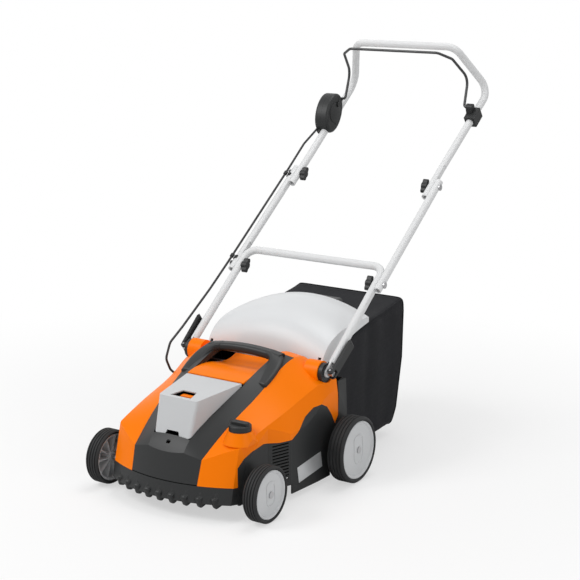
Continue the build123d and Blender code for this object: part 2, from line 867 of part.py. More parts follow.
for name, y, z, outer in (
    ("front_wheel_caps", front_axle_y, front_wheel_r, front_wheel_x),
    ("rear_wheel_caps", 0.0, rear_wheel_r, rear_wheel_x),
):
    with BuildPart() as caps:
        for end in (-1, 1):
            a, b = sorted((end * (outer - 3.2), end * (outer - 0.5)))
            add(rod(y, z, 9.0, a, b))
            a, b = sorted((end * (outer - 8.0), end * (outer - 3.2)))
            add(rod(y, z, 5.0, a, b))
    caps.part.label = name
    export_step(caps.part, "parts/" + name + ".step")

# ---------------------------------------------------------------- roller and drive
with BuildPart() as roller_shaft:
    add(rod(roller_y, roller_z, shaft_r, -199.0, block_x + 4.0))
roller_shaft.part.label = "roller_shaft"
export_step(roller_shaft.part, "parts/roller_shaft.step")

with BuildPart() as roller_bearings:
    add(ring(roller_y, roller_z, bearing_r, shaft_r + fit, chamber_x, block_x))
    add(ring(roller_y, roller_z, bearing_r, shaft_r + fit, -block_x, -chamber_x))
roller_bearings.part.label = "roller_bearings"
export_step(roller_bearings.part, "parts/roller_bearings.step")

roller_half = chamber_x - 3.0
blade_pitch = (2.0 * roller_half - blade_t) / (blade_count - 1)
tips = 4
with BuildPart() as blades:
    for index in range(blade_count):
        x = -roller_half + index * blade_pitch
        turn = index * 31.0
        outline = []
        for tip in range(tips):
            a = radians(turn + tip * 360.0 / tips)
            for radius, ahead in ((16.0, -0.55), (blade_tip_r - 6.0, -0.10), (blade_tip_r, 0.03)):
                outline.append(
                    (roller_y + radius * cos(a + ahead), roller_z + radius * sin(a + ahead))
                )
            outline.append(
                (roller_y + 34.0 * cos(a + 0.16), roller_z + 34.0 * sin(a + 0.16))
            )
        plate = side(outline, x, x + blade_t)
        add(plate - rod(roller_y, roller_z, shaft_r + fit, x - 1.0, x + blade_t + 1.0))
blades.part.label = "blades"
export_step(blades.part, "parts/blades.step")

with BuildPart() as spacers:
    for index in range(blade_count - 1):
        x = -roller_half + index * blade_pitch + blade_t
        add(
            ring(roller_y, roller_z, spacer_r, shaft_r + fit, x + 0.05, x + blade_pitch - blade_t - 0.05)
        )
spacers.part.label = "spacers"
export_step(spacers.part, "parts/spacers.step")


def pulley(y, z, radius, bore):
    """A flat-belt pulley with two flanges."""
    half = belt_w / 2
    with BuildPart() as wheel_part:
        add(ring(y, z, radius, bore, belt_x - half, belt_x + half))
        add(ring(y, z, radius + 4.0, bore, belt_x - half - 1.5, belt_x - half))
        add(ring(y, z, radius + 4.0, bore, belt_x + half, belt_x + half + 1.5))
    return wheel_part.part


roller_pulley = pulley(roller_y, roller_z, roller_pulley_r, shaft_r + fit)
roller_pulley.label = "roller_pulley"
export_step(roller_pulley, "parts/roller_pulley.step")

motor_end = -chamber_x + 0.5
with BuildPart() as motor_case:
    add(rod(motor_y, motor_z, motor_r, motor_end, -20.0))
    add(rod(motor_y, motor_z, 14.5, -20.0, -8.0))
    for index in range(18):
        a = radians(20.0 * index)
        add(
            rod(motor_y + motor_r * cos(a), motor_z + motor_r * sin(a), 1.6, motor_end + 18.0, -38.0),
            mode=Mode.SUBTRACT,
        )
    add(rod(motor_y, motor_z, 5.0 + fit, motor_end - 1.0, motor_end + 40.0), mode=Mode.SUBTRACT)
motor_case.part.label = "motor_case"
export_step(motor_case.part, "parts/motor_case.step")

with BuildPart() as motor_pulley:
    add(pulley(motor_y, motor_z, motor_pulley_r, 4.9))
    add(rod(motor_y, motor_z, 5.0, belt_x - belt_w / 2 - 1.5, motor_end + 38.0))
motor_pulley.part.label = "motor_pulley"
export_step(motor_pulley.part, "parts/motor_pulley.step")


def belt_loop(extra):
    with BuildPart() as loop:
        with BuildSketch(Plane.YZ.offset(belt_x - belt_w / 2 + 0.5)):
            with Locations((motor_y, motor_z)):
                Circle(motor_pulley_r + extra)
            with Locations((roller_y, roller_z)):
                Circle(roller_pulley_r + extra)
            make_hull()
        extrude(amount=belt_w - 1.0)
    return loop.part


with BuildPart() as drive_belt:
    add(belt_loop(0.3 + belt_t))
    add(belt_loop(0.3), mode=Mode.SUBTRACT)
drive_belt.part.label = "drive_belt"
export_step(drive_belt.part, "parts/drive_belt.step")

# ---------------------------------------------------------------- rear hood
# stations: y, lower edge of the side, shoulder height, crown height
hood_stations = [
    (-2.0, 298.0, 312.0, 322.0),
    (30.0, 308.0, 354.0, 388.0),
    (70.0, 324.0, 373.0, 414.0),
    (138.0, 350.0, 385.0, 428.0),
    (200.0, 366.0, 389.0, 432.0),
    (240.0, 374.0, 387.0, 431.0),
]


def hood_mass(inset, y_shift, drop):
    with BuildPart() as mass:
        for y, low, shoulder, crown in hood_stations:
            half = hood_x - inset
            with BuildSketch(Plane.XZ.offset(-y - y_shift)):
                with BuildLine():
                    Polyline(
                        (-half, shoulder - inset),
                        (-half, low - drop),
                        (half, low - drop),
                        (half, shoulder - inset),
                    )
                    ThreePointArc(
                        (half, shoulder - inset), (0, crown - inset), (-half, shoulder - inset)
                    )
                make_face()
        loft()
    return mass.part


with BuildPart() as hood:
    add(hood_mass(0.0, 0.0, 0.0))
    add(hood_mass(hood_wall, hood_wall, 10.0), mode=Mode.SUBTRACT)
    for end in (-1, 1):
        a, b = sorted((end * (hood_x - 5.0), end * hood_x))
        add(rod(hood_hinge_y, hood_hinge_z, 11.0, a, b))
        a, b = sorted((end * (chamber_x - 1.5), end * (block_x + 2.0)))
        add(rod(hood_hinge_y, hood_hinge_z, 15.0, a, b), mode=Mode.SUBTRACT)
    add(rod(hood_hinge_y, hood_hinge_z, hinge_pin_r + fit, -200.0, 200.0), mode=Mode.SUBTRACT)
hood.part.label = "hood"
export_step(hood.part, "parts/hood.step")

with BuildPart() as hood_pin:
    add(rod(hood_hinge_y, hood_hinge_z, hinge_pin_r, -hood_x, hood_x))
hood_pin.part.label = "hood_pin"
export_step(hood_pin.part, "parts/hood_pin.step")

# ---------------------------------------------------------------- grass bag
mouth_y = body_rear_y + 0.3 + bag_wire_r
mouth_x = 178.0
with BuildPart() as bag_frame:
    with BuildSketch(Plane.XZ.offset(bag_wire_r - mouth_y)):
        with Locations((0.0, (bag_mouth_low + bag_mouth_high) / 2)):
            RectangleRounded(2 * mouth_x + 8.0, bag_mouth_high - bag_mouth_low, 16.0)
            RectangleRounded(
                2 * mouth_x - 8.0, bag_mouth_high - bag_mouth_low - 16.0, 10.0, mode=Mode.SUBTRACT
            )
    extrude(amount=-2 * bag_wire_r)
bag_frame.part.label = "bag_frame"
export_step(bag_frame.part, "parts/bag_frame.step")

bag_front_y = mouth_y + bag_wire_r + 0.3
bag_profile = [
    (bag_front_y, bag_mouth_high),
    (150.0, 352.0),
    (240.0, 368.0),
    (445.0, 401.0),
    (453.0, 300.0),
    (438.0, 180.0),
    (418.0, 80.0),
    (386.0, 30.0),
    (240.0, 22.0),
    (130.0, 34.0),
    (bag_front_y, 58.0),
]
bag_hollow = [
    (bag_front_y - 5.0, bag_mouth_high - 4.0),
    (150.0, 348.0),
    (240.0, 364.0),
    (441.0, 396.0),
    (449.0, 300.0),
    (434.0, 181.0),
    (414.5, 82.0),
    (384.0, 33.5),
    (240.0, 25.5),
    (130.0, 37.5),
    (bag_front_y - 5.0, 62.5),
]
with BuildPart() as bag_fabric:
    add(side(bag_profile, -bag_x, bag_x))
    fillet(bag_fabric.edges().filter_by(Axis.X).sort_by(Axis.Y)[-7:], 12.0)
    add(side(bag_hollow, bag_wall - bag_x, bag_x - bag_wall), mode=Mode.SUBTRACT)
bag_fabric.part.label = "bag_fabric"
export_step(bag_fabric.part, "parts/bag_fabric.step")

with BuildPart() as bag_handle:
    with BuildSketch(Plane.XZ.offset(-306.0)):
        with Locations((0.0, 380.0 + 9.0)):
            RectangleRounded(104.0, 34.0, 12.0)
            RectangleRounded(84.0, 18.0, 7.0, mode=Mode.SUBTRACT)
    extrude(amount=-20.0)
    add(block(-60.0, 60.0, 290.0, 340.0, 300.0, 385.0), mode=Mode.SUBTRACT)
    with BuildSketch(Plane.XY.offset(385.0)):
        with Locations((0.0, 316.0)):
            RectangleRounded(112.0, 28.0, 6.0)
    extrude(amount=3.0)
bag_handle.part.label = "bag_handle"
export_step(bag_handle.part, "parts/bag_handle.step")

# ---------------------------------------------------------------- handle
pivot = (pivot_y, pivot_z)
leg_angle = degrees(atan2(knob_low[1] - pivot_z, knob_low[0] - pivot_y))
rail_angle = degrees(atan2(knob_high[1] - knob_low[1], knob_high[0] - knob_low[0]))
rail_length = hypot(knob_high[0] - knob_low[0], knob_high[1] - knob_low[1])
blade_root = 30.0               # where the flattened end of a leg meets the round tube
flat_reach = 84.0


def strip(start, angle, first, last, half, low_x, high_x):
    """A bar of rectangular outline lying along a direction seen from the side."""
    corners = []
    for distance, offset in ((first, -half), (last, -half), (last, half), (first, half)):
        centre = along(start, angle, distance)
        corners.append(
            (
                centre[0] - offset * sin(radians(angle)),
                centre[1] + offset * cos(radians(angle)),
            )
        )
    return side(corners, low_x, high_x)


def both_sides(make):
    """The same tool at the right and, mirrored, at the left."""
    right = make()
    return [right, mirror(right, about=Plane.YZ)]


leg_start = along(pivot, leg_angle, blade_root)
leg_end = along(knob_low, leg_angle, leg_over)
with BuildPart() as lower_handle:
    add(
        bent_tube(
            mirrored([(leg_x, *leg_start), (leg_x, *leg_end)]),
            34.0,
            tube_r,
            tube_bore,
        )
    )
    for plate in both_sides(
        lambda: strip(pivot, leg_angle, 0.0, blade_root + 14.0, 12.0, leg_x - 2.4, leg_x + 2.6)
    ):
        add(plate)
    add(rod(pivot_y, pivot_z, 12.0, leg_x - 2.4, leg_x + 2.6))
    add(rod(pivot_y, pivot_z, 12.0, -leg_x - 2.6, -leg_x + 2.4))
    add(rod(pivot_y, pivot_z, bolt_r + fit, -260.0, 260.0), mode=Mode.SUBTRACT)
    for flat in both_sides(
        lambda: strip(knob_low, leg_angle, -flat_reach, flat_reach, 20.0, flat_x, flat_x + 10.0)
    ):
        add(flat, mode=Mode.SUBTRACT)
    add(rod(*knob_low, bolt_r + fit, -260.0, 260.0), mode=Mode.SUBTRACT)
lower_handle.part.label = "lower_handle"
export_step(lower_handle.part, "parts/lower_handle.step")

rail_low = along(knob_low, rail_angle, -rail_over)
rail_high = along(knob_high, rail_angle, rail_over)
with BuildPart() as middle_rails:
    for x in (-rail_x, rail_x):
        start = Vector(x, *rail_low)
        finish = Vector(x, *rail_high)
        with BuildSketch(Plane(origin=start, z_dir=finish - start)):
            Circle(tube_r)
            Circle(tube_bore, mode=Mode.SUBTRACT)
        extrude(amount=(finish - start).length)
    for knob in (knob_low, knob_high):
        for flat in both_sides(
            lambda: strip(
                knob, rail_angle, -flat_reach, flat_reach, 20.0, flat_x - 10.0, flat_x + tube_gap
            )
        ):
            add(flat, mode=Mode.SUBTRACT)
        add(rod(*knob, bolt_r + fit, -270.0, 270.0), mode=Mode.SUBTRACT)
middle_rails.part.label = "middle_rails"
export_step(middle_rails.part, "parts/middle_rails.step")

upper_start = along(knob_high, upper_angle, -45.0)
upper_kink = along(knob_high, upper_angle, 70.0)
upper_bend = along(knob_high, upper_angle, upper_straight)
grip_corner = along(upper_bend, grip_angle, grip_rise)
handle_path = mirrored(
    [
        (leg_x, *upper_start),
        (leg_x, *upper_kink),
        (upper_bend_x, *upper_bend),
        (grip_x, *grip_corner),
    ]
)
with BuildPart() as upper_handle:
    add(bent_tube(handle_path, [150.0, 42.0, 42.0, 42.0, 42.0, 150.0], tube_r, tube_bore))
    for flat in both_sides(
        lambda: strip(knob_high, upper_angle, -flat_reach, flat_reach, 20.0, flat_x, flat_x + 10.0)
    ):
        add(flat, mode=Mode.SUBTRACT)
    add(rod(*knob_high, bolt_r + fit, -260.0, 260.0), mode=Mode.SUBTRACT)
upper_handle.part.label = "upper_handle"
export_step(upper_handle.part, "parts/upper_handle.step")

# ---------------------------------------------------------------- handle fasteners
disc_in = boss_out + 0.3
disc_out = leg_x - 2.4 - 0.3
with BuildPart() as pivot_discs:
    for disc in both_sides(lambda: ring(pivot_y, pivot_z, pivot_disc_r, bolt_r + gap, disc_in, disc_out)):
        add(disc)
    for index in range(24):
        a = radians(15.0 * index)
        for notch in both_sides(
            lambda: rod(
                pivot_y + 22.0 * cos(a), pivot_z + 22.0 * sin(a), 1.2, disc_out - 1.5, disc_out + 1.0
            )
        ):
            add(notch, mode=Mode.SUBTRACT)
pivot_discs.part.label = "pivot_discs"
export_step(pivot_discs.part, "parts/pivot_discs.step")

barrel_x = 241.5                # cross pin of the quick clamp
pin_r = 2.5
with BuildPart() as clamp_bolts:
    for bolt in both_sides(lambda: rod(pivot_y, pivot_z, bolt_r, bracket_x - 6.8, barrel_x - pin_r - 0.3)):
        add(bolt)
clamp_bolts.part.label = "clamp_bolts"
export_step(clamp_bolts.part, "parts/clamp_bolts.step")

lever_length = 104.0
u = (cos(radians(leg_angle)), sin(radians(leg_angle)))
n = (-u[1], u[0])
with BuildPart() as clamp_barrels:
    for barrel in both_sides(
        lambda: ring(pivot_y, pivot_z, 7.0, bolt_r + fit, leg_x + 2.9, barrel_x + 5.0)
    ):
        add(barrel)
    with BuildSketch(Plane(origin=(0, pivot_y - n[0] * 16.0, pivot_z - n[1] * 16.0), x_dir=(1, 0, 0),
                           z_dir=(0, n[0], n[1]))):
        with Locations((barrel_x, 0.0), (-barrel_x, 0.0)):
            Circle(pin_r)
    extrude(amount=32.0)
clamp_barrels.part.label = "clamp_barrels"
export_step(clamp_barrels.part, "parts/clamp_barrels.step")


def clamp_lever(sign):
    """Cam lever: two cheeks round the cross pin and an arm that lies along the leg."""
    plane = Plane(origin=(sign * barrel_x, pivot_y, pivot_z), x_dir=(0, u[0], u[1]),
                  z_dir=(0, n[0], n[1]))
    reach = sign if plane.y_dir.X > 0 else -sign
    with BuildPart() as lever:
        with BuildSketch(plane.offset(-13.0)):
            Circle(8.5)
            with BuildLine():
                Polyline(
                    (0.0, 8.5 * reach),
                    (12.0, 9.5 * reach),
                    (lever_length, 13.5 * reach),
                    (lever_length + 6.0, 9.0 * reach),
                    (lever_length, 4.5 * reach),
                    (14.0, 0.0),
                    close=True,
                )
            make_face()
        extrude(amount=26.0)
        # the slot between the cheeks and the bore for the pin
        with BuildSketch(plane.offset(-7.4)):
            Rectangle(24.0, 40.0)
        extrude(amount=14.8, mode=Mode.SUBTRACT)
        with BuildSketch(plane.offset(-20.0)):
            Circle(pin_r + fit)
        extrude(amount=40.0, mode=Mode.SUBTRACT)
    return lever.part


for sign, place in ((1, "right"), (-1, "left")):
    lever_solid = clamp_lever(sign)
    lever_solid.label = "clamp_lever_" + place
    export_step(lever_solid, "parts/clamp_lever_" + place + ".step")

knob_face = leg_x - tube_r - 0.4
knob_t = 17.0
for level, (centre, angle) in (("lower", (knob_low, leg_angle)), ("upper", (knob_high, upper_angle))):
    with BuildPart() as carriage_bolts:
        for bolt in both_sides(
            lambda: rod(*centre, bolt_r, knob_face - knob_t + 5.0, rail_x + tube_r + 0.2)
        ):
            add(bolt)
        for head in both_sides(
            lambda: rod(*centre, 9.0, rail_x + tube_r + 0.2, rail_x + tube_r + 3.4)
        ):
            add(head)
    carriage_bolts.part.label = "bolts_" + level
    export_step(carriage_bolts.part, "parts/bolts_" + level + ".step")
    for sign, place in ((1, "right"), (-1, "left")):
        near, far = sorted((sign * (knob_face - knob_t), sign * knob_face))
        low, high = sorted((sign * (knob_face - knob_t), sign * (knob_face - 3.0)))
        with BuildPart() as wing_knob:
            add(rod(*centre, 11.0, near, far))
            with BuildSketch(Plane.YZ.offset(low)):
                with Locations(centre):
                    SlotOverall(2.0 * wing_r, 14.0, rotation=angle + 25.0)
            extrude(amount=high - low)
            add(rod(*centre, bolt_r + fit, near + (0 if sign < 0 else 4.5),
                    far - (4.5 if sign < 0 else 0)), mode=Mode.SUBTRACT)
        name = "wing_knob_" + level + "_" + place
        wing_knob.part.label = name
        export_step(wing_knob.part, "parts/" + name + ".step")

# ---------------------------------------------------------------- controls on the upper handle
lean_run = upper_straight - 70.0


def tube_at(distance):
    """Centre of the left-hand upper tube at a distance above the upper knob."""
    share = (distance - 70.0) / lean_run
    y, z = along(knob_high, upper_angle, distance)
    return Vector(-(leg_x + (upper_bend_x - leg_x) * share), y, z)


with BuildPart() as tube_room:
    start = tube_at(120.0)
    finish = tube_at(400.0)
    with BuildSketch(Plane(origin=start, z_dir=finish - start)):
        Circle(tube_r + 0.3)
    extrude(amount=(finish - start).length)
tube_room_right = mirror(tube_room.part, about=Plane.YZ)

box_tilt = 62.0
cable_offset = 14.0             # the cable runs this far above the tubes' centre line
box_long = 63.0
box_short = 43.0


def box_half(low_x, high_x, inset):
    with BuildPart() as half:
        with BuildSketch(Plane.YZ.offset(low_x)):
            with Locations(box_mid):
                Ellipse(box_long - inset, box_short - inset, rotation=box_tilt)
        extrude(amount=high_x - low_x)
    return half.part


box_low_x = -box_x - box_t / 2
box_high_x = -box_x + box_t / 2
bail_y, bail_z = bail_pivot
button_at = along(box_mid, box_tilt, 30.0)
case_rib = strip(box_mid, upper_angle, -70.0, 90.0, 15.0, box_low_x + 6.0, -box_x - 0.1)
case_rib = case_rib & box_half(box_low_x, -box_x - 0.1, 2.0)
bail_post = rod(bail_y, bail_z, 9.0, -box_x + 0.1, box_high_x - 1.0)
bail_post = bail_post & box_half(-box_x + 0.1, box_high_x, 1.0)
offset_high = along(along(knob_high, rail_angle + 90.0, cable_offset), rail_angle, 0.5)
offset_low = along(knob_low, rail_angle + 90.0, cable_offset)
cable_start = along(box_mid, box_tilt, -36.0)
cable_side = along(along(knob_high, upper_angle, 110.0), upper_angle + 90.0, cable_offset + 3.0)
with BuildPart() as cable_upper:
    add(
        bent_tube(
            [(-250.0, *cable_start), (-cable_x, *cable_side), (-cable_x, *offset_high)],
            30.0,
            cable_r,
        )
    )
with BuildPart() as cable_exit:
    with BuildSketch(
        Plane(
            origin=(-250.0, *cable_start),
            z_dir=(250.0 - cable_x, cable_side[0] - cable_start[0], cable_side[1] - cable_start[1]),
        )
    ):
        Circle(cable_r + 0.4)
    extrude(amount=60.0)
with BuildPart() as switch_case:
    add(box_half(box_low_x, -box_x - 0.1, 0.0))
    fillet(switch_case.faces().sort_by(Axis.X)[0].edges(), 9.0)
    add(box_half(box_low_x + 4.0, -box_x, 3.0), mode=Mode.SUBTRACT)
    add(case_rib)
    add(tube_room.part, mode=Mode.SUBTRACT)
    add(cable_exit.part, mode=Mode.SUBTRACT)
switch_case.part.label = "switch_case"
export_step(switch_case.part, "parts/switch_case.step")

with BuildPart() as switch_cover:
    add(box_half(-box_x + 0.1, box_high_x, 0.0))
    fillet(switch_cover.faces().sort_by(Axis.X)[-1].edges(), 9.0)
    add(box_half(-box_x, box_high_x - 4.0, 3.0), mode=Mode.SUBTRACT)
    add(bail_post)
    add(rod(bail_y, bail_z, bail_r + fit, -box_x + 8.0, box_high_x + 5.0), mode=Mode.SUBTRACT)
    add(rod(*button_at, 8.0 + gap, box_high_x - 20.0, box_high_x + 5.0), mode=Mode.SUBTRACT)
    add(tube_room.part, mode=Mode.SUBTRACT)
switch_cover.part.label = "switch_cover"
export_step(switch_cover.part, "parts/switch_cover.step")

with BuildPart() as lock_button:
    add(rod(*button_at, 8.0, box_high_x - 9.0, box_high_x + 6.0))
    fillet(lock_button.faces().sort_by(Axis.X)[-1].edges(), 1.5)
lock_button.part.label = "lock_button"
export_step(lock_button.part, "parts/lock_button.step")

bail_in = -box_x + 10.0
with BuildPart() as bail:
    add(
        bent_tube(
            mirrored(
                [
                    (-bail_in, bail_y, bail_z),
                    (207.0, bail_y, bail_z),
                    (205.0, 777.0, 1008.0),
                    (186.0, 709.0, 1068.0),
                    (150.0, 684.0, 1086.0),
                ]
            ),
            [8.0, 40.0, 16.0, 20.0, 20.0, 16.0, 40.0, 8.0],
            bail_r,
        )
    )
bail.part.label = "bail"
export_step(bail.part, "parts/bail.step")

bracket_mid = tube_at(300.0)
with BuildPart() as bail_bracket:
    add(
        strip((bracket_mid.Y, bracket_mid.Z), upper_angle, -24.0, 24.0, 17.0, 217.0, 250.0)
    )
    add(strip((bracket_mid.Y, bracket_mid.Z), upper_angle, -13.0, 24.0, 17.0, 217.0, 236.0))
    add(rod(bail_y, bail_z, 11.0, 217.0, 236.0))
    add(
        side(
            [
                (bail_y - 11.0, bail_z),
                (bail_y + 11.0, bail_z),
                along((bracket_mid.Y, bracket_mid.Z), upper_angle, 22.0),
                along((bracket_mid.Y, bracket_mid.Z), upper_angle, -10.0),
            ],
            217.0,
            236.0,
        )
    )
    add(rod(bail_y, bail_z, bail_r + fit, 200.0, 228.0), mode=Mode.SUBTRACT)
    add(tube_room_right, mode=Mode.SUBTRACT)
bail_bracket.part.label = "bail_bracket"
export_step(bail_bracket.part, "parts/bail_bracket.step")

# ---------------------------------------------------------------- control cable
cable_upper.part.label = "cable_upper"
export_step(cable_upper.part, "parts/cable_upper.step")

with BuildPart() as cable_middle:
    start = Vector(-cable_x, *along(offset_high, rail_angle, -1.0))
    finish = Vector(-cable_x, *offset_low)
    with BuildSketch(Plane(origin=start, z_dir=finish - start)):
        Circle(cable_r)
    extrude(amount=(finish - start).length)
cable_middle.part.label = "cable_middle"
export_step(cable_middle.part, "parts/cable_middle.step")

with BuildPart() as cable_lower:
    add(cable_run(0.0))
cable_lower.part.label = "cable_lower"
export_step(cable_lower.part, "parts/cable_lower.step")

clip_w = 10.0
clip_step = 18.0
with BuildPart() as cable_clips:
    for knob, way in ((knob_low, 1.0), (knob_high, -1.0)):
        y, z = along(knob, rail_angle, way * clip_step - clip_w / 2)
        base = Plane(
            origin=(-rail_x, y, z),
            x_dir=(-1, 0, 0),
            z_dir=(0, cos(radians(rail_angle)), sin(radians(rail_angle))),
        )
        lift = cable_offset if base.y_dir.Z > 0 else -cable_offset
        with BuildSketch(base):
            Circle(tube_r + 3.0)
            with Locations((cable_x - rail_x, lift)):
                Circle(cable_r + 2.6)
            with Locations((cable_x - rail_x, lift)):
                Circle(cable_r + fit, mode=Mode.SUBTRACT)
            Circle(tube_r + fit, mode=Mode.SUBTRACT)
            with Locations((-12.0, 0.0)):
                Rectangle(20.0, 40.0, mode=Mode.SUBTRACT)
        extrude(amount=clip_w)
cable_clips.part.label = "cable_clips"
export_step(cable_clips.part, "parts/cable_clips.step")
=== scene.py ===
"""Walk-behind lawn dethatcher: finishes, soft grass bag, cables and studio."""

import logging
from dataclasses import dataclass, field
from enum import Enum
from math import atan2, copysign, cos, pi, radians, sin

import bmesh
import bpy
from mathutils import Matrix, Vector, noise
from mathutils.bvhtree import BVHTree


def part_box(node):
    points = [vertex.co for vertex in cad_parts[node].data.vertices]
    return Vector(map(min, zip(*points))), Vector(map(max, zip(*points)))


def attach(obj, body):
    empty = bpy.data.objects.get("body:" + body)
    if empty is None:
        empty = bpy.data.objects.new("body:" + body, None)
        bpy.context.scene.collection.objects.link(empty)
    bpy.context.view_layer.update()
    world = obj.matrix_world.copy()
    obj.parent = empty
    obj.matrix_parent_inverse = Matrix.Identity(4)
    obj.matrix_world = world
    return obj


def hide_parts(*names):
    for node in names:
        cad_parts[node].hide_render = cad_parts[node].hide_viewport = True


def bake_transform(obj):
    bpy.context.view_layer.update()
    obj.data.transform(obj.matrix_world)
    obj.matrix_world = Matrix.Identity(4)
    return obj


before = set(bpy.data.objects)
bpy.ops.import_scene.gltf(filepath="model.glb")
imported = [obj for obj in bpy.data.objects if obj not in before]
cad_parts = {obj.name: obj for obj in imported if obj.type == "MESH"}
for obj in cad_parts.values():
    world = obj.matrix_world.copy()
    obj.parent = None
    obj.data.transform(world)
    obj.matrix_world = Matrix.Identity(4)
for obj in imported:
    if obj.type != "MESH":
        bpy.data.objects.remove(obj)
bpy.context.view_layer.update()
LOG = logging.getLogger("dethatcher")

Triple = tuple[float, float, float]
Ring = list[bmesh.types.BMVert]
MIX_COLOURS = (6, 7)
WELD = 0.00002
SIDES = (("right", 1.0), ("left", -1.0))


class Spread(Enum):
    """How a surface pattern is laid."""

    OBJECT = "Object"
    SHEET = "UV"


class Num:
    """A number socket that can be summed and multiplied."""

    def __init__(self, shader: "Shader", socket: bpy.types.NodeSocket) -> None:
        """Keep the shader and the socket.

        Args:
            shader: The shader the socket belongs to.
            socket: The output that carries the value.
        """
        self.shader = shader
        self.socket = socket

    def _join(self, operation: str, first: object, second: object) -> "Num":
        """Add one Math node.

        Args:
            operation: The node's operation.
            first: Left operand.
            second: Right operand.

        Returns:
            The result as a number.
        """
        node = self.shader.node("ShaderNodeMath", {"operation": operation}, {0: first, 1: second})
        return Num(self.shader, node.outputs[0])

    def __add__(self, other: object) -> "Num":
        """Sum."""
        return self._join("ADD", self, other)

    __radd__ = __add__

    def __mul__(self, other: object) -> "Num":
        """Product."""
        return self._join("MULTIPLY", self, other)

    __rmul__ = __mul__


class Graph:
    """A node tree filled by one method."""

    def __init__(self, tree: bpy.types.NodeTree) -> None:
        """Empty the tree.

        Args:
            tree: The tree of a material or of the world.
        """
        self.tree = tree
        self.tree.nodes.clear()

    def node(
        self,
        kind: str,
        settings: dict[str, object] | None = None,
        inputs: dict[object, object] | None = None,
    ) -> bpy.types.Node:
        """Add a node.

        Args:
            kind: The node's type.
            settings: Properties, set before the sockets.
            inputs: Values or links by socket name or number.

        Returns:
            The new node.
        """
        made = self.tree.nodes.new(kind)
        for key, value in (settings or {}).items():
            setattr(made, key, value)
        self.feed(made, inputs or {})
        return made

    def feed(self, made: bpy.types.Node, inputs: dict[object, object]) -> None:
        """Set or link a node's sockets.

        Args:
            made: The node.
            inputs: Values or links by socket name or number.
        """
        for key, value in inputs.items():
            socket = made.inputs[key]
            if isinstance(value, Num):
                value = value.socket
            if isinstance(value, bpy.types.NodeSocket):
                self.tree.links.new(value, socket)
            else:
                socket.default_value = value


class Shader(Graph):
    """One material with a principled surface."""

    def __init__(self, name: str) -> None:
        """Start a material.

        Args:
            name: The material's name.
        """
        self.material = bpy.data.materials.new(name)
        self.material.use_nodes = True
        super().__init__(self.material.node_tree)
        self.surface = self.node("ShaderNodeBsdfPrincipled")
        self.node("ShaderNodeOutputMaterial", {}, {"Surface": self.surface.outputs[0]})

    def place(self, spread: Spread) -> bpy.types.NodeSocket:
        """Coordinates for a pattern."""
        return self.node("ShaderNodeTexCoord").outputs[spread.value]

    def axis(self, spread: Spread, letter: str) -> Num:
        """One coordinate as a number."""
        split = self.node("ShaderNodeSeparateXYZ", {}, {0: self.place(spread)})
        return Num(self, split.outputs[letter])

    def grain(self, scale: float, detail: float, stretch: Triple = (1.0, 1.0, 1.0)) -> Num:
        """Noise over the piece.

        Args:
            scale: Cells to a metre.
            detail: Octaves.
            stretch: Scale along each axis.

        Returns:
            The noise value, about 0.5 on average.
        """
        placed = self.node(
            "ShaderNodeMapping", {}, {"Vector": self.place(Spread.OBJECT), "Scale": stretch}
        )
        made = self.node(
            "ShaderNodeTexNoise",
            {},
            {"Vector": placed.outputs[0], "Scale": scale, "Detail": detail, "Roughness": 0.55},
        )
        return Num(self, made.outputs[0])

    def tone(self, mask: Num, dark: Triple, light: Triple) -> bpy.types.NodeSocket:
        """Mix two colours.

        Args:
            mask: 0 for the dark one and 1 for the light one.
            dark: The dark colour.
            light: The light colour.

        Returns:
            The mixed colour's socket.
        """
        mix = self.node(
            "ShaderNodeMix",
            {"data_type": "RGBA"},
            {0: mask, MIX_COLOURS[0]: (*dark, 1.0), MIX_COLOURS[1]: (*light, 1.0)},
        )
        return mix.outputs[2]

    def relief(self, height: Num, depth: float, strength: float = 1.0) -> None:
        """Feed a height to the surface's normal.

        Args:
            height: The height, from 0 to 1.
            depth: Metres between 0 and 1.
            strength: Share of the effect.
        """
        bump = self.node(
            "ShaderNodeBump", {}, {"Height": height, "Distance": depth, "Strength": strength}
        )
        self.feed(self.surface, {"Normal": bump.outputs[0]})


def shade(colour: Triple, factor: float) -> Triple:
    """A colour made darker or lighter."""
    return tuple(min(1.0, c * factor) for c in colour)


@dataclass(frozen=True)
class Moulding:
    """Moulded plastic with a spark-eroded grain."""

    name: str
    colour: Triple
    rough: float = 0.4
    texture: float = 0.00006
    coat: float = 0.0
    spread: float = 0.08
    shine: float = 0.32
    pits: float = 1400.0
    pit_rough: float = 0.04
    pit_share: float = 0.5
    clouds: float = 9.0
    cloud_rough: float = 0.08
    cloud_dip: float = 0.06
    light: float = 1.04
    coat_rough: float = 0.12

    def build(self) -> Shader:
        """Make the material.

        Returns:
            The shader that holds it.
        """
        made = Shader(self.name)
        fine = made.grain(self.pits, 2.0)
        broad = made.grain(self.clouds, 3.0)
        dark, light = shade(self.colour, 1 - self.spread), shade(self.colour, self.light)
        rough = self.rough - self.cloud_dip + broad * self.cloud_rough + fine * self.pit_rough
        made.feed(
            made.surface,
            {
                "Base Color": made.tone(broad, dark, light),
                "Roughness": rough,
                "Coat Weight": self.coat,
                "Coat Roughness": self.coat_rough,
                "Specular IOR Level": self.shine,
            },
        )
        made.relief(fine, self.texture, self.pit_share)
        return made


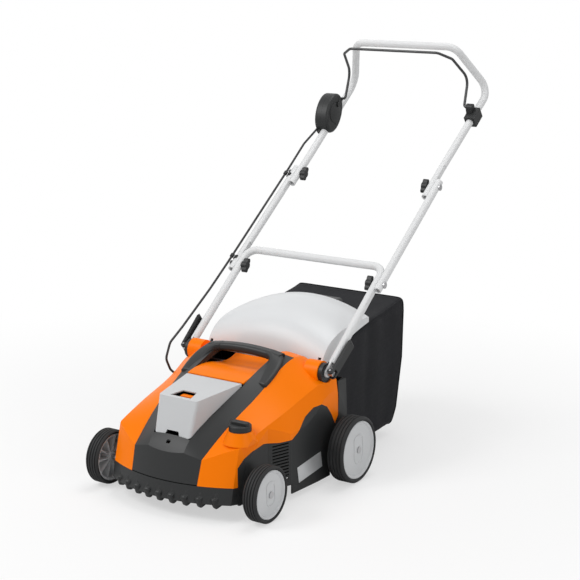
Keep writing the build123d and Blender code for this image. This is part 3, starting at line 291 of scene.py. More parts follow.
@dataclass(frozen=True)
class Metalwork:
    """Bare or painted metal with a drawn finish."""

    name: str
    colour: Triple
    metallic: float = 1.0
    rough: float = 0.3
    coat: float = 0.0
    scratch: float = 0.00001
    scratch_share: float = 0.2
    scratch_rough: float = 0.1
    scratch_dip: float = 0.05
    drawing: float = 60.0
    drawn: Triple = (1.0, 12.0, 12.0)
    clouds: float = 6.0
    dark: float = 0.94

    def build(self) -> Shader:
        """Make the material.

        Returns:
            The shader that holds it.
        """
        made = Shader(self.name)
        broad = made.grain(self.clouds, 2.0)
        drawn = made.grain(self.drawing, 4.0, self.drawn)
        made.feed(
            made.surface,
            {
                "Base Color": made.tone(broad, shade(self.colour, self.dark), self.colour),
                "Metallic": self.metallic,
                "Roughness": self.rough - self.scratch_dip + drawn * self.scratch_rough,
                "Coat Weight": self.coat,
            },
        )
        made.relief(drawn, self.scratch, self.scratch_share)
        return made


@dataclass(frozen=True)
class TyreRubber:
    """Soft tyre rubber with a little dust in its grain."""

    name: str = "tyre_rubber"
    colour: Triple = (0.011, 0.0115, 0.012)
    dark: float = 0.8
    light: float = 1.5
    rough: float = 0.62
    shine: float = 0.4
    dust: float = 22.0
    pits: float = 700.0
    pit_rough: float = 0.18
    pit_depth: float = 0.00012
    pit_share: float = 0.6

    def build(self) -> Shader:
        """Make the material.

        Returns:
            The shader that holds it.
        """
        made = Shader(self.name)
        fine = made.grain(self.pits, 3.0)
        broad = made.grain(self.dust, 4.0)
        dark, light = shade(self.colour, self.dark), shade(self.colour, self.light)
        made.feed(
            made.surface,
            {
                "Base Color": made.tone(broad, dark, light),
                "Roughness": self.rough + fine * self.pit_rough,
                "Specular IOR Level": self.shine,
            },
        )
        made.relief(fine, self.pit_depth, self.pit_share)
        return made


@dataclass(frozen=True)
class WovenCloth:
    """Coated woven polyester of the grass bag."""

    name: str = "bag_cloth"
    colour: Triple = (0.0048, 0.0051, 0.0068)
    yarn: float = 0.0016
    yarn_tone: float = 0.1
    yarn_relief: float = 0.04
    dark: float = 0.6
    light: float = 1.8
    clouds: float = 12.0
    lint: float = 260.0
    lint_rough: float = 0.2
    rough: float = 0.7
    sheen: float = 0.04
    sheen_rough: float = 0.5
    shine: float = 0.22
    depth: float = 0.004
    depth_share: float = 0.5

    def build(self) -> Shader:
        """Make the material.

        Returns:
            The shader that holds it.
        """
        made = Shader(self.name)
        turns = 2 * pi / self.yarn
        threads = []
        for letter in ("X", "Y"):
            wave = made.node(
                "ShaderNodeMath",
                {"operation": "SINE"},
                {0: made.axis(Spread.SHEET, letter) * turns},
            )
            threads.append(Num(made, wave.outputs[0]))
        weave = threads[0] * threads[1] * 0.5 + 0.5
        broad = made.grain(self.clouds, 5.0)
        lint = made.grain(self.lint, 3.0)
        mask = broad * (1 - self.yarn_tone) + weave * self.yarn_tone
        dark, light = shade(self.colour, self.dark), shade(self.colour, self.light)
        made.feed(
            made.surface,
            {
                "Base Color": made.tone(mask, dark, light),
                "Roughness": self.rough + lint * self.lint_rough,
                "Sheen Weight": self.sheen,
                "Sheen Roughness": self.sheen_rough,
                "Specular IOR Level": self.shine,
            },
        )
        height = weave * self.yarn_relief + broad * (1 - self.yarn_relief)
        made.relief(height, self.depth, self.depth_share)
        return made


class Finish(Enum):
    """The finishes the machine is made in."""

    ORANGE = Moulding("orange_shell", (1.0, 0.205, 0.0), 0.36, 0.00003, 0.0, 0.04, 0.1)
    DARK = Moulding("dark_moulding", (0.017, 0.018, 0.0185), 0.42)
    GREY = Moulding("pale_grey_moulding", (0.56, 0.57, 0.58), 0.36, 0.00003, 0.1, 0.03)
    NYLON = Moulding("nylon_moulding", (0.7, 0.7, 0.66), 0.42)
    HOOD = Moulding("hood_shell", (0.68, 0.69, 0.7), 0.37, 0.00003, 0.0, 0.03, 0.4)
    TUBE = Moulding("painted_tube", (0.7, 0.705, 0.71), 0.5, 0.00001, 0.0, 0.02, 0.3)
    STEEL = Metalwork("zinc_steel", (0.5, 0.5, 0.51), 0.95, 0.34)
    SPRING = Metalwork("spring_steel", (0.3, 0.3, 0.31), 0.95, 0.38)
    BLACK_STEEL = Metalwork("black_coated_steel", (0.028, 0.029, 0.03), 0.2, 0.36, 0.2)
    PLATE = Metalwork("bare_plate", (0.62, 0.63, 0.64), 0.6, 0.34)
    RUBBER = TyreRubber()
    BELT = Moulding("belt_rubber", (0.02, 0.02, 0.02), 0.6)
    CORD = Moulding("cable_sheath", (0.028, 0.028, 0.029), 0.45)
    CLOTH = WovenCloth()


class Paintbox:
    """Builds each finish once."""

    def __init__(self) -> None:
        """Start with no finish made."""
        self.made: dict[Finish, bpy.types.Material] = {}

    def get(self, finish: Finish) -> bpy.types.Material:
        """Find a finish, and make it when it is first asked for.

        Args:
            finish: The finish.

        Returns:
            Its material.
        """
        if finish not in self.made:
            self.made[finish] = finish.value.build().material
        return self.made[finish]


PAINTS = Paintbox()


def dress(target: bpy.types.Object, finish: Finish) -> None:
    """Give a piece its finish.

    Args:
        target: The piece.
        finish: The finish for its whole surface.
    """
    material = PAINTS.get(finish)
    if target.material_slots:
        for place in target.material_slots:
            place.material = material
    else:
        target.data.materials.append(material)


def settle(mesh: bmesh.types.BMesh, name: str, smooth: bool = True) -> bpy.types.Object:
    """Turn a finished bmesh into an object at the origin.

    Args:
        mesh: The mesh, which is freed.
        name: The piece's name.
        smooth: Whether its faces are shaded smooth.

    Returns:
        The linked object.
    """
    data = bpy.data.meshes.new(name)
    for face in mesh.faces:
        face.smooth = smooth
    mesh.to_mesh(data)
    mesh.free()
    made = bpy.data.objects.new(name, data)
    bpy.context.scene.collection.objects.link(made)
    return made


def enlist(made: bpy.types.Object, body: str, finish: Finish) -> None:
    """Dress a new piece and put it on its body.

    Args:
        made: The piece.
        body: The body it rides on.
        finish: Its finish.
    """
    dress(made, finish)
    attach(made, body)
    LOG.info("%s rides on %s", made.name, body)


def round_edges(
    mesh: bmesh.types.BMesh, edges: list[bmesh.types.BMEdge], radius: float, segments: int
) -> None:
    """Round some edges of a mesh.

    Args:
        mesh: The mesh.
        edges: The edges.
        radius: How far the rounding reaches.
        segments: Steps in it.
    """
    bmesh.ops.bevel(
        mesh,
        geom=edges,
        offset=radius,
        affect="EDGES",
        segments=segments,
        profile=0.5,
        material=-1,
    )


def plate_mesh(size: Triple, place: Matrix, bevel: float, segments: int = 3) -> bmesh.types.BMesh:
    """A rounded slab.

    Args:
        size: Full size along its own axes.
        place: Where it lies.
        bevel: Radius of its edges.
        segments: Steps in each rounded edge.

    Returns:
        The mesh.
    """
    mesh = bmesh.new()
    bmesh.ops.create_cube(mesh, size=1.0)
    bmesh.ops.scale(mesh, vec=size, verts=mesh.verts)
    round_edges(mesh, list(mesh.edges), bevel, segments)
    bmesh.ops.transform(mesh, matrix=place, verts=mesh.verts)
    return mesh


def disc_mesh(
    radius: float, depth: float, place: Matrix, bevel: float, around: int = 48, segments: int = 3
) -> bmesh.types.BMesh:
    """A round slab about its own Z, with its rims rounded.

    Args:
        radius: Its radius.
        depth: Its thickness.
        place: Where it lies.
        bevel: Radius of its rims.
        around: Sides of the round.
        segments: Steps in each rounded rim.

    Returns:
        The mesh.
    """
    mesh = bmesh.new()
    bmesh.ops.create_cone(
        mesh,
        cap_ends=True,
        segments=around,
        radius1=radius,
        radius2=radius,
        depth=depth,
    )
    rims = [e for e in mesh.edges if len({round(v.co.z, 6) for v in e.verts}) == 1]
    round_edges(mesh, rims, bevel, segments)
    bmesh.ops.transform(mesh, matrix=place, verts=mesh.verts)
    return mesh


@dataclass
class Machine:
    """The hard parts that keep their CAD shape."""

    finishes: dict[str, Finish] = field(
        default_factory=lambda: {
            "fairing_right": Finish.ORANGE,
            "fairing_left": Finish.ORANGE,
            "rear_deck": Finish.ORANGE,
            "battery_flap": Finish.GREY,
            "hood": Finish.HOOD,
            "lower_handle": Finish.TUBE,
            "middle_rails": Finish.TUBE,
            "upper_handle": Finish.TUBE,
            "bail": Finish.BLACK_STEEL,
            "motor_case": Finish.BLACK_STEEL,
            "blades": Finish.SPRING,
            "spacers": Finish.NYLON,
            "roller_pulley": Finish.NYLON,
            "motor_pulley": Finish.NYLON,
            "drive_belt": Finish.BELT,
            "lock_button": Finish.DARK,
        }
    )
    steel: tuple[str, ...] = (
        "flap_pin",
        "depth_screw",
        "front_axle",
        "rear_axle",
        "front_wheel_caps",
        "rear_wheel_caps",
        "roller_shaft",
        "roller_bearings",
        "hood_pin",
        "bag_frame",
        "clamp_bolts",
        "clamp_barrels",
        "bolts_lower",
        "bolts_upper",
    )

    def dress(self) -> None:
        """Give every CAD node its finish."""
        for name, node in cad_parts.items():
            finish = self.finishes.get(name, Finish.DARK)
            if name in self.steel:
                finish = Finish.STEEL
            elif name.startswith("tyre_"):
                finish = Finish.RUBBER
            elif name.startswith("hub_"):
                finish = Finish.GREY
            dress(node, finish)
            LOG.info("%s dressed in %s", name, finish.name)


@dataclass
class TubeWork:
    """The handle's tubes and the bail, welded so that their round faces shade evenly."""

    crease: float = 32.0
    tubes: tuple[tuple[str, str, str, Finish], ...] = (
        ("lower_handle", "handle_low", "tube", Finish.TUBE),
        ("middle_rails", "handle_mid", "tube", Finish.TUBE),
        ("upper_handle", "handle_top", "tube", Finish.TUBE),
        ("bail", "bail", "coated_steel", Finish.BLACK_STEEL),
    )

    def build(self) -> None:
        """Weld a copy of each tube and put it in the tube's place."""
        for node, body, slot, finish in self.tubes:
            mesh = bmesh.new()
            mesh.from_mesh(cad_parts[node].data)
            bmesh.ops.remove_doubles(mesh, verts=mesh.verts, dist=WELD)
            for edge in mesh.edges:
                bent = edge.calc_face_angle(0.0) > radians(self.crease)
                edge.smooth = len(edge.link_faces) == 2 and not bent
            made = settle(mesh, node + "_tube")
            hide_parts(node)
            enlist(made, body, finish)


def squared_circle(turn: float, square: float) -> tuple[float, float]:
    """A point of a circle drawn out towards a square.

    Args:
        turn: Angle round it.
        square: 2 for a circle, and more for squarer corners.

    Returns:
        Its place across and up, each from -1 to 1.
    """
    c, s = cos(turn), sin(turn)
    return copysign(abs(c) ** (2 / square), c), copysign(abs(s) ** (2 / square), s)


def loop_edges(mesh: bmesh.types.BMesh, ring: Ring) -> list[bmesh.types.BMEdge]:
    """The edges that join a closed ring of vertices."""
    return [mesh.edges.get(pair) for pair in zip(ring, ring[1:] + ring[:1])]


def next_ring(mesh: bmesh.types.BMesh, ring: Ring) -> Ring:
    """Extrude a closed ring once.

    Args:
        mesh: The mesh.
        ring: Its last ring, in order.

    Returns:
        The new ring in the same order.
    """
    grown = bmesh.ops.extrude_edge_only(mesh, edges=loop_edges(mesh, ring))
    fresh = {g for g in grown["geom"] if isinstance(g, bmesh.types.BMVert)}
    return [next(e.other_vert(v) for e in v.link_edges if e.other_vert(v) in fresh) for v in ring]


def cordage(name: str, points: list[Vector], closed: bool, radius: float) -> bpy.types.Object:
    """A round welt along points.

    Args:
        name: The piece's name.
        points: Its line.
        closed: Whether it comes back to its start.
        radius: Its radius.

    Returns:
        The welt as a mesh.
    """
    curve = bpy.data.curves.new(name, "CURVE")
    curve.dimensions = "3D"
    curve.bevel_depth = radius
    curve.bevel_resolution = 3
    curve.use_fill_caps = True
    spline = curve.splines.new("POLY")
    spline.points.add(len(points) - 1)
    for spot, place in zip(spline.points, points):
        spot.co = (*place, 1.0)
    spline.use_cyclic_u = closed
    draft = bpy.data.objects.new(name + "_line", curve)
    bpy.context.scene.collection.objects.link(draft)
    bpy.context.view_layer.update()
    graph = bpy.context.evaluated_depsgraph_get()
    data = bpy.data.meshes.new_from_object(draft.evaluated_get(graph))
    bpy.data.objects.remove(draft)
    mesh = bmesh.new()
    mesh.from_mesh(data)
    return settle(mesh, name)


def between(table: tuple[tuple[float, float], ...], at: float) -> float:
    """Read a value from a table of rising places.

    Args:
        table: Pairs of place and value.
        at: The place.

    Returns:
        The value there, on a straight line between neighbours.
    """
    if at <= table[0][0]:
        return table[0][1]
    for (low, first), (high, last) in zip(table, table[1:]):
        if at <= high:
            share = (at - low) / (high - low)
            return first + (last - first) * share
    return table[-1][1]


@dataclass
class GrassBag:
    """The cloth bag behind the machine, sewn to a wire mouth."""

    half_width: float = 0.1815
    mouth_y: float = 0.0535
    around: int = 168
    along: int = 46
    square: float = 26.0
    sag_side: float = 0.011
    sag_top: float = 0.010
    sag_rear: float = 0.014
    cloth: float = 0.0009
    piping: float = 0.0024
    sag_floor: float = 0.004
    side_start: float = 0.6
    top_start: float = 0.7
    floor_end: float = 0.3
    crease: float = 0.009
    broad_crease: float = 0.5
    fine_crease: float = 0.22
    fine_scale: float = 2.7
    fine_shift: Triple = (3.0, 1.0, 7.0)
    drape_x: float = 5.0
    drape_y: float = 7.0
    drape_z: float = 2.4
    drape_slant: float = 3.0
    hang: float = 0.0022
    hang_pitch: float = 46.0
    stray: float = 2.6
    stray_pitch: tuple[float, float] = (9.0, 3.0)
    stray_row: float = 2.0
    edge_fade: float = 9.0
    fade_end: float = 1.02
    panel_edge: float = 0.995
    roof_level: float = 0.985
    roof_push: float = 0.6
    corner_power: int = 8
    panel_rings: int = 18
    row: float = 0.009
    sheet_width: float = 0.19
    welt_steps: int = 40
    rear: tuple[tuple[float, float], ...] = (
        (0.0, 0.384),
        (0.13, 0.416),
        (0.4, 0.437),
        (0.72, 0.4515),
        (1.0, 0.445),
    )
    low: tuple[tuple[float, float], ...] = (
        (0.053, 0.059),
        (0.13, 0.036),
        (0.24, 0.024),
        (0.39, 0.032),
        (0.46, 0.06),
    )
    high: tuple[tuple[float, float], ...] = (
        (0.053, 0.333),
        (0.15, 0.351),
        (0.24, 0.367),
        (0.445, 0.3995),
    )

    def point(self, turn: float, depth: float, shrink: float = 1.0) -> Vector:
        """A point of the cloth.

        Args:
            turn: Angle round the bag.
            depth: 0 at the mouth and 1 at the rear panel's border.
            shrink: 1 on the sides, falling to 0 at the middle of the rear panel.

        Returns:
            The place in the row frame.
        """
        across, rise = squared_circle(turn, self.square)
        across *= shrink
        level = 0.5 + 0.5 * rise * shrink
        y = self.mouth_y + depth * (between(self.rear, level) - self.mouth_y)
        low, high = between(self.low, y), between(self.high, y)
        swell = sin(pi * min(1.0, max(0.0, depth)))
        x = self.half_width * across
        z = low + (high - low) * level
        side = max(0.0, abs(across) - self.side_start) / (1 - self.side_start) * sin(pi * level)
        top = max(0.0, level - self.top_start) / (1 - self.top_start) * max(0.0, 1 - across**2)
        foot = max(0.0, self.floor_end - level) / self.floor_end * (1 - across**2)
        x -= copysign(self.sag_side * swell * side, x)
        z -= self.sag_top * swell * top
        z -= self.sag_floor * swell * foot
        if shrink < 1.0:
            y -= self.sag_rear * (1 - shrink**2) * sin(pi * level)
        far_fade = 1.0 if shrink < 1.0 else min(1.0, (self.fade_end - depth) * self.edge_fade)
        fade = min(1.0, depth * self.edge_fade) * far_fade
        push = self.folds(x, y, z, level) * fade
        if shrink < self.panel_edge:
            y += push * (1 - shrink**4)
        elif level > self.roof_level:
            z += push * self.roof_push
        else:
            x += copysign(push, x) * min(1.0, abs(across) ** self.corner_power)
        return Vector((x, y, z))

    def folds(self, x: float, y: float, z: float, level: float) -> float:
        """How far the folds push the cloth outwards.

        Args:
            x: Place across.
            y: Place along.
            z: Height.
            level: Height as a share of the bag's own.

        Returns:
            The push, before it fades towards the sewn edges.
        """
        slant = y * self.drape_y + z * self.drape_slant
        drape = Vector((x * self.drape_x, slant, z * self.drape_z))
        fine = noise.noise(drape * self.fine_scale + Vector(self.fine_shift))
        crease = noise.noise(drape) * self.broad_crease + fine * self.fine_crease
        pitch_y, pitch_z = self.stray_pitch
        stray = noise.noise(Vector((y * pitch_y, z * pitch_z, self.stray_row))) * self.stray
        hang = sin(y * self.hang_pitch + stray) * sin(pi * level)
        return crease * self.crease + hang * self.hang

    def shell(self) -> bpy.types.Object:
        """Loft the cloth from the mouth and close its rear panel.

        Returns:
            The cloth, with a wall and its own UV map.
        """
        mesh = bmesh.new()
        uv = mesh.loops.layers.uv.new("cloth")
        made = bmesh.ops.create_circle(mesh, cap_ends=False, segments=self.around, radius=1.0)
        ring = sorted(made["verts"], key=lambda v: atan2(v.co.y, v.co.x))
        turns = [atan2(v.co.y, v.co.x) for v in ring]
        places = {}
        for vert, turn in zip(ring, turns):
            vert.co = self.point(turn, 0.0)
            places[vert] = (turn, 0.0)
        steps = [(i / self.along, 1.0) for i in range(1, self.along + 1)]
        steps += [(1.0, 1.0 - i / self.panel_rings) for i in range(1, self.panel_rings)]
        run = 0.0
        for depth, shrink in steps:
            ring = next_ring(mesh, ring)
            run += self.row
            for vert, turn in zip(ring, turns):
                vert.co = self.point(turn, depth, shrink)
                places[vert] = (turn, run)
        bmesh.ops.contextual_create(mesh, geom=loop_edges(mesh, ring))
        bmesh.ops.poke(mesh, faces=[f for f in mesh.faces if len(f.verts) > 4])
        bmesh.ops.recalc_face_normals(mesh, faces=mesh.faces)
        for face in mesh.faces:
            spots = [places.get(loop.vert, (0.0, run)) for loop in face.loops]
            wraps = max(t for t, _ in spots) - min(t for t, _ in spots) > pi
            for loop, (turn, reach) in zip(face.loops, spots):
                if wraps and turn < 0.0:
                    turn += 2 * pi
                loop[uv].uv = (turn * self.sheet_width, reach)
        made = settle(mesh, "bag_cloth")
        wall = made.modifiers.new("cloth", "SOLIDIFY")
        wall.thickness = self.cloth
        wall.offset = -1.0
        return made

    def build(self) -> None:
        """Make the cloth, its welts and its mouth binding."""
        cloth = self.shell()
        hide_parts("bag_fabric")
        enlist(cloth, "bag", Finish.CLOTH)
        turns = [2 * pi * i / self.around for i in range(self.around)]
        rear = [self.point(t, 1.0) for t in turns]
        front = [self.point(t, 0.0) for t in turns]
        for name, line in (("bag_rear_welt", rear), ("bag_mouth_binding", front)):
            enlist(cordage(name, line, True, self.piping), "bag", Finish.CLOTH)
        corner = pi / 4
        for name, turn in (("right", corner), ("left", pi - corner)):
            line = [self.point(turn, i / self.welt_steps) for i in range(self.welt_steps + 1)]
            welt = cordage("bag_top_welt_" + name, line, False, self.piping)
            enlist(welt, "bag", Finish.CLOTH)


@dataclass
class ControlCable:
    """The three lengths of the cable, each copied and cut across into rings."""

    step: float = 0.009
    cut: float = 1e-6
    along: Triple = (0.0, 0.8, 0.6)
    lengths: tuple[tuple[str, str, str, Triple, Triple], ...] = (
        ("cable_lower", "base", "handle_low", (-0.25, -0.09, 0.30), (-0.259, 0.06, 0.41)),
        (
            "cable_middle",
            "handle_low",
            "handle_mid",
            (-0.259, 0.203, 0.507),
            (-0.259, 0.222, 0.52),
        ),
        (
            "cable_upper",
            "handle_mid",
            "handle_top",
            (-0.259, 0.512, 0.733),
            (-0.259, 0.54, 0.753),
        ),
    )

    def bendable(self, node: str) -> bpy.types.Object:
        """A copy of a cable's own shape with enough rings to bend.

        Args:
            node: The CAD node.

        Returns:
            The copy, cut across every few millimetres.
        """
        mesh = bmesh.new()
        mesh.from_mesh(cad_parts[node].data)
        bmesh.ops.remove_doubles(mesh, verts=mesh.verts, dist=WELD)
        low, high = (Vector(p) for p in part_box(node))
        normal = Vector(self.along)
        first, last = low.dot(normal), high.dot(normal)
        count = int((last - first) / self.step)
        for index in range(1, count):
            bmesh.ops.bisect_plane(
                mesh,
                geom=list(mesh.verts) + list(mesh.edges) + list(mesh.faces),
                dist=self.cut,
                plane_co=normal * (first + index * self.step),
                plane_no=normal,
            )
        return settle(mesh, node + "_sheath")

    def build(self) -> None:
        """Make the three lengths."""
        for node, near, far, start, end in self.lengths:
            sheath = self.bendable(node)
            dress(sheath, Finish.CORD)
            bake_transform(sheath)
            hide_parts(node)
            LOG.info("%s bends between %s and %s", node, near, far)


@dataclass
class SmallParts:
    """Plate, latch and screw heads that are too small for the CAD."""

    plate_size: Triple = (0.0008, 0.104, 0.044)
    plate_at: Triple = (0.2339, -0.131, 0.068)
    plate_toe: float = -3.75
    plate_lean: float = 9.0
    plate_edge: float = 0.0003
    latch_size: Triple = (0.04, 0.016, 0.009)
    latch_at: Triple = (0.003, -0.3475, 0.2755)
    latch_edge: float = 0.0025
    screw_r: float = 0.0042
    screw_depth: float = 0.0012
    screw_edge: float = 0.0003
    screw_sides: tuple[tuple[str, float], ...] = (("outer", -0.2602), ("inner", -0.2118))
    screw_spots: tuple[tuple[float, float], ...] = (
        (0.722, 0.922),
        (0.676, 0.886),
        (0.706, 0.852),
    )
    cap_r: float = 0.031
    cap_depth: float = 0.0022
    cap_edge: float = 0.0009
    cap_at: Triple = (-0.2116, 0.702, 0.886)
    boot_r: float = 0.0068
    boot_length: float = 0.026
    boot_edge: float = 0.0022
    boot_at: Triple = (-0.2465, 0.6695, 0.8255)
    boot_lean: float = 54.0

    def build(self) -> None:
        """Make and place each piece."""
        toe = Matrix.Rotation(radians(self.plate_toe), 4, "Z")
        lean = toe @ Matrix.Rotation(radians(self.plate_lean), 4, "X")
        place = Matrix.Translation(self.plate_at) @ lean
        plate = settle(plate_mesh(self.plate_size, place, self.plate_edge), "side_plate", False)
        enlist(plate, "base", Finish.PLATE)
        place = Matrix.Translation(self.latch_at)
        latch = settle(plate_mesh(self.latch_size, place, self.latch_edge), "battery_latch")
        enlist(latch, "battery", Finish.ORANGE)
        turn = Matrix.Rotation(radians(90.0), 4, "Y")
        for side, x in self.screw_sides:
            for index, (y, z) in enumerate(self.screw_spots):
                place = Matrix.Translation((x, y, z)) @ turn
                head = disc_mesh(self.screw_r, self.screw_depth, place, self.screw_edge)
                screw = settle(head, f"case_screw_{side}_{index}")
                enlist(screw, "handle_top", Finish.DARK)
        place = Matrix.Translation(self.cap_at) @ turn
        cover = disc_mesh(self.cap_r, self.cap_depth, place, self.cap_edge)
        enlist(settle(cover, "case_round_cap"), "handle_top", Finish.DARK)
        lean = Matrix.Rotation(radians(self.boot_lean), 4, "X")
        place = Matrix.Translation(self.boot_at) @ lean
        sleeve = disc_mesh(self.boot_r, self.boot_length, place, self.boot_edge)
        enlist(settle(sleeve, "cable_boot"), "handle_top", Finish.DARK)


@dataclass
class WheelRelief:
    """The keyhole outline raised on each hub."""

    line: float = 0.0021
    round_share: float = 0.351
    legs_share: float = 0.66
    drop: float = 0.7
    shoulder: float = 0.6
    per_turn: int = 16
    per_leg: int = 6
    outside: float = 0.5
    wheels: tuple[tuple[str, float], ...] = (("rear", 0.062), ("front", 0.049))

    def surface(self, hub: bpy.types.Object, side: float, y: float, z: float) -> float:
        """Where the hub's outer face lies at a place.

        Args:
            hub: The CAD hub.
            side: 1 on the right and -1 on the left.
            y: Place along the machine.
            z: Height.

        Returns:
            Its X.

        Raises:
            ValueError: If the hub has no face there.
        """
        start = Vector((side * self.outside, y, z))
        found, spot, _, _ = hub.ray_cast(start, Vector((-side, 0.0, 0.0)))
        if not found:
            raise ValueError(f"the hub {hub.name} has no face at y={y:.4f}, z={z:.4f}")
        return spot.x

    def build(self) -> None:
        """Raise the outline on all four hubs."""
        for end, reach in self.wheels:
            for place, side in SIDES:
                node = f"hub_{end}_{place}"
                low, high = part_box(node)
                y0, z0 = (low[1] + high[1]) / 2, (low[2] + high[2]) / 2
                path = self.outline(reach)
                points = []
                for (ya, za), (yb, zb) in zip(path, path[1:] + path[:1]):
                    for step in range(self.per_leg):
                        y = y0 + ya + (yb - ya) * step / self.per_leg
                        z = z0 + za + (zb - za) * step / self.per_leg
                        x = self.surface(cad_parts[node], side, y, z)
                        points.append(Vector((x, y, z)))
                ring = cordage(f"hub_relief_{end}_{place}", points, True, self.line)
                enlist(ring, f"wheel_{end}_{place}", Finish.GREY)

    def outline(self, reach: float) -> list[tuple[float, float]]:
        """The keyhole's corners about the hub's axis, along and up.

        Args:
            reach: The hub's free radius.

        Returns:
            The corners in order, round the foot and then over the top.
        """
        r, top = reach * self.round_share, reach * self.legs_share
        lift = r * self.shoulder
        turns = [-pi * i / self.per_turn for i in range(self.per_turn + 1)]
        foot = [(r * cos(a), -r * self.drop + r * sin(a)) for a in turns]
        return foot + [(-r * cos(a), top - lift - lift * sin(a)) for a in turns]


@dataclass
class Guard:
    """The ribs along the nose and the rounded corners of the carry handle."""

    pitch: float = 0.038
    count: int = 9
    bow: float = 0.386
    nose: float = -0.4625
    rib: Triple = (0.019, 0.028, 0.031)
    rib_z: float = 0.0515
    rib_lean: float = 24.0
    rib_edge: float = 0.0065
    start: Triple = (0.076, -0.086, 0.3392)
    bend: Triple = (0.131, -0.086, 0.3385)
    end: Triple = (0.1165, -0.19, 0.2838)
    wide: tuple[float, float] = (0.0348, 0.0415)
    tall: tuple[float, float] = (0.0238, 0.02)
    square: float = 3.6
    around: int = 36
    along: int = 26

    def build(self) -> None:
        """Make each rib and corner."""
        for index in range(self.count):
            x = (index - self.count // 2) * self.pitch
            y = self.nose + self.bow - (self.bow**2 - x**2) ** 0.5
            fan = Matrix.Rotation(-x / self.bow, 4, "Z")
            lean = fan @ Matrix.Rotation(radians(self.rib_lean), 4, "X")
            place = Matrix.Translation((x, y, self.rib_z)) @ lean
            rib = settle(plate_mesh(self.rib, place, self.rib_edge, 4), f"nose_rib_{index}")
            enlist(rib, "base", Finish.DARK)
        for name, side in SIDES:
            corner = settle(self.elbow(side), "grip_corner_" + name)
            enlist(corner, "base", Finish.DARK)

    def elbow(self, side: float) -> bmesh.types.BMesh:
        """The bend that carries the bar round and down into its arm.

        Args:
            side: 1 for the right arm and -1 for the left.

        Returns:
            The bend, closed at both ends.
        """
        mirror = Matrix.Diagonal((side, 1.0, 1.0))
        start, bend, end = (mirror @ Vector(p) for p in (self.start, self.bend, self.end))
        mesh = bmesh.new()
        made = bmesh.ops.create_circle(mesh, cap_ends=True, segments=self.around, radius=1.0)
        ring = sorted(made["verts"], key=lambda v: atan2(v.co.y, v.co.x))
        turns = [atan2(v.co.y, v.co.x) for v in ring]
        for index in range(self.along + 1):
            if index:
                ring = next_ring(mesh, ring)
            t = index / self.along
            spot = start.lerp(bend, t).lerp(bend.lerp(end, t), t)
            ahead = (bend.lerp(end, t) - start.lerp(bend, t)).normalized()
            flat = ahead.cross(Vector((0.0, 0.0, 1.0))).normalized()
            up = flat.cross(ahead)
            wide = self.wide[0] + (self.wide[1] - self.wide[0]) * t
            tall = self.tall[0] + (self.tall[1] - self.tall[0]) * t
            for vert, turn in zip(ring, turns):
                across, rise = squared_circle(turn, self.square)
                vert.co = spot + flat * (across * wide / 2) + up * (rise * tall / 2)
        bmesh.ops.contextual_create(mesh, geom=loop_edges(mesh, ring))
        bmesh.ops.recalc_face_normals(mesh, faces=mesh.faces)
        return mesh


@dataclass
class HoodPanel:
    """The shallow oval raised on the hood's top."""

    centre: tuple[float, float] = (-0.01, 0.162)
    half: tuple[float, float] = (0.112, 0.056)
    lift: float = 0.0042
    sunk: float = 0.0006
    border: float = 0.7
    around: int = 96
    rings: int = 26

    def build(self) -> None:
        """Lay a disc of rings on the hood and raise it inside its border."""
        hood = bmesh.new()
        hood.from_mesh(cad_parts["hood"].data)
        tree = BVHTree.FromBMesh(hood)
        mesh = bmesh.new()
        bmesh.ops.create_circle(mesh, cap_ends=True, segments=self.around, radius=1.0)
        for _ in range(self.rings - 1):
            inner = [f for f in mesh.faces if len(f.verts) == self.around]
            bmesh.ops.inset_region(mesh, faces=inner, thickness=1.0 / self.rings)
        bmesh.ops.poke(mesh, faces=[f for f in mesh.faces if len(f.verts) == self.around])
        for vert in mesh.verts:
            away = vert.co.length
            x = self.centre[0] + vert.co.x * self.half[0]
            y = self.centre[1] + vert.co.y * self.half[1]
            hit, normal, _, _ = tree.ray_cast(Vector((x, y, 1.0)), Vector((0.0, 0.0, -1.0)))
            step = min(1.0, max(0.0, (1.0 - away) / (1.0 - self.border)))
            step = step * step * (3.0 - 2.0 * step)
            vert.co = hit + normal * (step * (self.lift + self.sunk) - self.sunk)
        hood.free()
        panel = settle(mesh, "hood_panel")
        enlist(panel, "hood", Finish.HOOD)


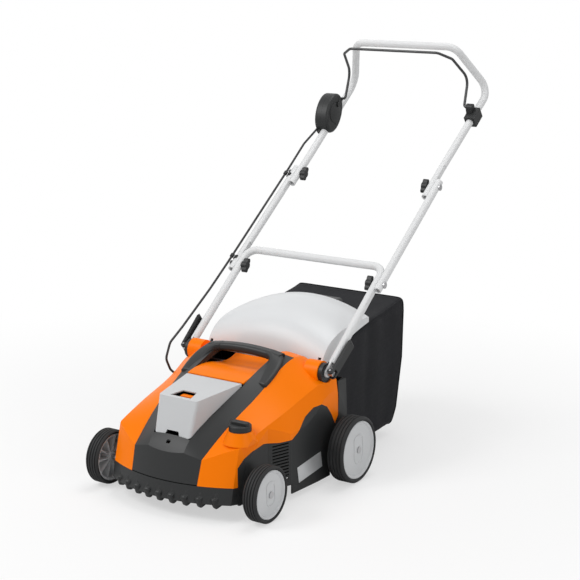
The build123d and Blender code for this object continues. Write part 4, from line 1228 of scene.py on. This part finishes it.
@dataclass
class Studio:
    """Pale floor, soft lamps and the camera."""

    eye: Triple = (2.2477, -3.2652, 1.4262)
    aim: Triple = (-0.00465, 0.1347, 0.4602)
    lens: float = 93.4
    clip: float = 60.0
    floor_size: float = 60.0
    floor_tone: tuple[float, float, float, float] = (0.9, 0.9, 0.9, 1.0)
    floor_rough: float = 0.95
    paper_near: float = 0.55
    paper_from: float = 0.5
    paper_to: float = 1.9
    ambient: float = 0.42
    white: float = 1.0
    lamps: tuple[tuple[str, Triple, float, float], ...] = (
        ("key", (-1.9, -2.4, 3.2), 1.8, 78.0),
        ("fill", (3.4, -0.8, 1.8), 2.2, 26.0),
        ("top", (0.2, 0.8, 3.6), 1.8, 34.0),
    )

    def floor(self) -> None:
        """A wide pale floor that keeps the machine's shadow."""
        mesh = bmesh.new()
        bmesh.ops.create_grid(mesh, x_segments=1, y_segments=1, size=self.floor_size)
        made = settle(mesh, "floor", False)
        look = Shader("studio_floor")
        look.feed(look.surface, {"Base Color": self.floor_tone, "Roughness": self.floor_rough})
        middle = look.place(Spread.OBJECT)
        far = look.node("ShaderNodeVectorMath", {"operation": "LENGTH"}, {0: middle})
        spread = look.node(
            "ShaderNodeMapRange",
            {"interpolation_type": "SMOOTHSTEP"},
            {
                "Value": far.outputs["Value"],
                "From Min": self.paper_from,
                "From Max": self.paper_to,
                "To Min": self.paper_near,
                "To Max": 1.0,
            },
        )
        seen = look.node("ShaderNodeLightPath").outputs["Is Camera Ray"]
        paper = look.node("ShaderNodeEmission", {}, {"Strength": self.white})
        mix = look.node(
            "ShaderNodeMixShader",
            {},
            {
                0: Num(look, spread.outputs[0]) * Num(look, seen),
                1: look.surface.outputs[0],
                2: paper.outputs[0],
            },
        )
        look.node(
            "ShaderNodeOutputMaterial", {"is_active_output": True}, {"Surface": mix.outputs[0]}
        )
        made.data.materials.append(look.material)

    def backdrop(self) -> None:
        """White behind the machine, and a plain level of light from all round."""
        world = bpy.data.worlds.new("studio")
        world.use_nodes = True
        bpy.context.scene.world = world
        sky = Graph(world.node_tree)
        path = sky.node("ShaderNodeLightPath")
        seen = sky.node(
            "ShaderNodeMath",
            {"operation": "MAXIMUM"},
            {0: path.outputs["Is Camera Ray"], 1: path.outputs["Is Glossy Ray"]},
        )
        soft, bright = (
            sky.node("ShaderNodeBackground", {}, {"Color": (1.0,) * 4, "Strength": strength})
            for strength in (self.ambient, self.white)
        )
        mix = sky.node(
            "ShaderNodeMixShader",
            {},
            {0: seen.outputs[0], 1: soft.outputs[0], 2: bright.outputs[0]},
        )
        sky.node("ShaderNodeOutputWorld", {}, {"Surface": mix.outputs[0]})

    def stand(self, made: bpy.types.Object, place: Triple) -> None:
        """Link a lamp or the camera, and turn it to the machine.

        Args:
            made: The lamp or the camera.
            place: Where it stands.
        """
        bpy.context.scene.collection.objects.link(made)
        made.location = place
        facing = Vector(self.aim) - Vector(place)
        made.rotation_euler = facing.to_track_quat("-Z", "Y").to_euler()

    def lamp(self, name: str, place: Triple, size: float, power: float) -> None:
        """A square soft box aimed at the machine.

        Args:
            name: The lamp's name.
            place: Where it stands.
            size: Its side.
            power: Its power in watts.
        """
        light = bpy.data.lights.new(name, "AREA")
        light.size = size
        light.energy = power
        self.stand(bpy.data.objects.new(name, light), place)

    def camera(self) -> None:
        """The camera at three-quarter front."""
        data = bpy.data.cameras.new("camera")
        data.lens = self.lens
        data.clip_end = self.clip
        made = bpy.data.objects.new("camera", data)
        self.stand(made, self.eye)
        bpy.context.scene.camera = made

    def build(self) -> None:
        """Set the whole studio."""
        self.floor()
        self.backdrop()
        for lamp in self.lamps:
            self.lamp(*lamp)
        self.camera()
        bpy.context.scene.view_settings.view_transform = "Standard"


def main() -> None:
    """Build every part of the scene in order."""
    logging.basicConfig(level=logging.INFO, format="%(message)s")
    Machine().dress()
    TubeWork().build()
    GrassBag().build()
    ControlCable().build()
    SmallParts().build()
    WheelRelief().build()
    Guard().build()
    HoodPanel().build()
    Studio().build()


if __name__ == "__main__":
    main()
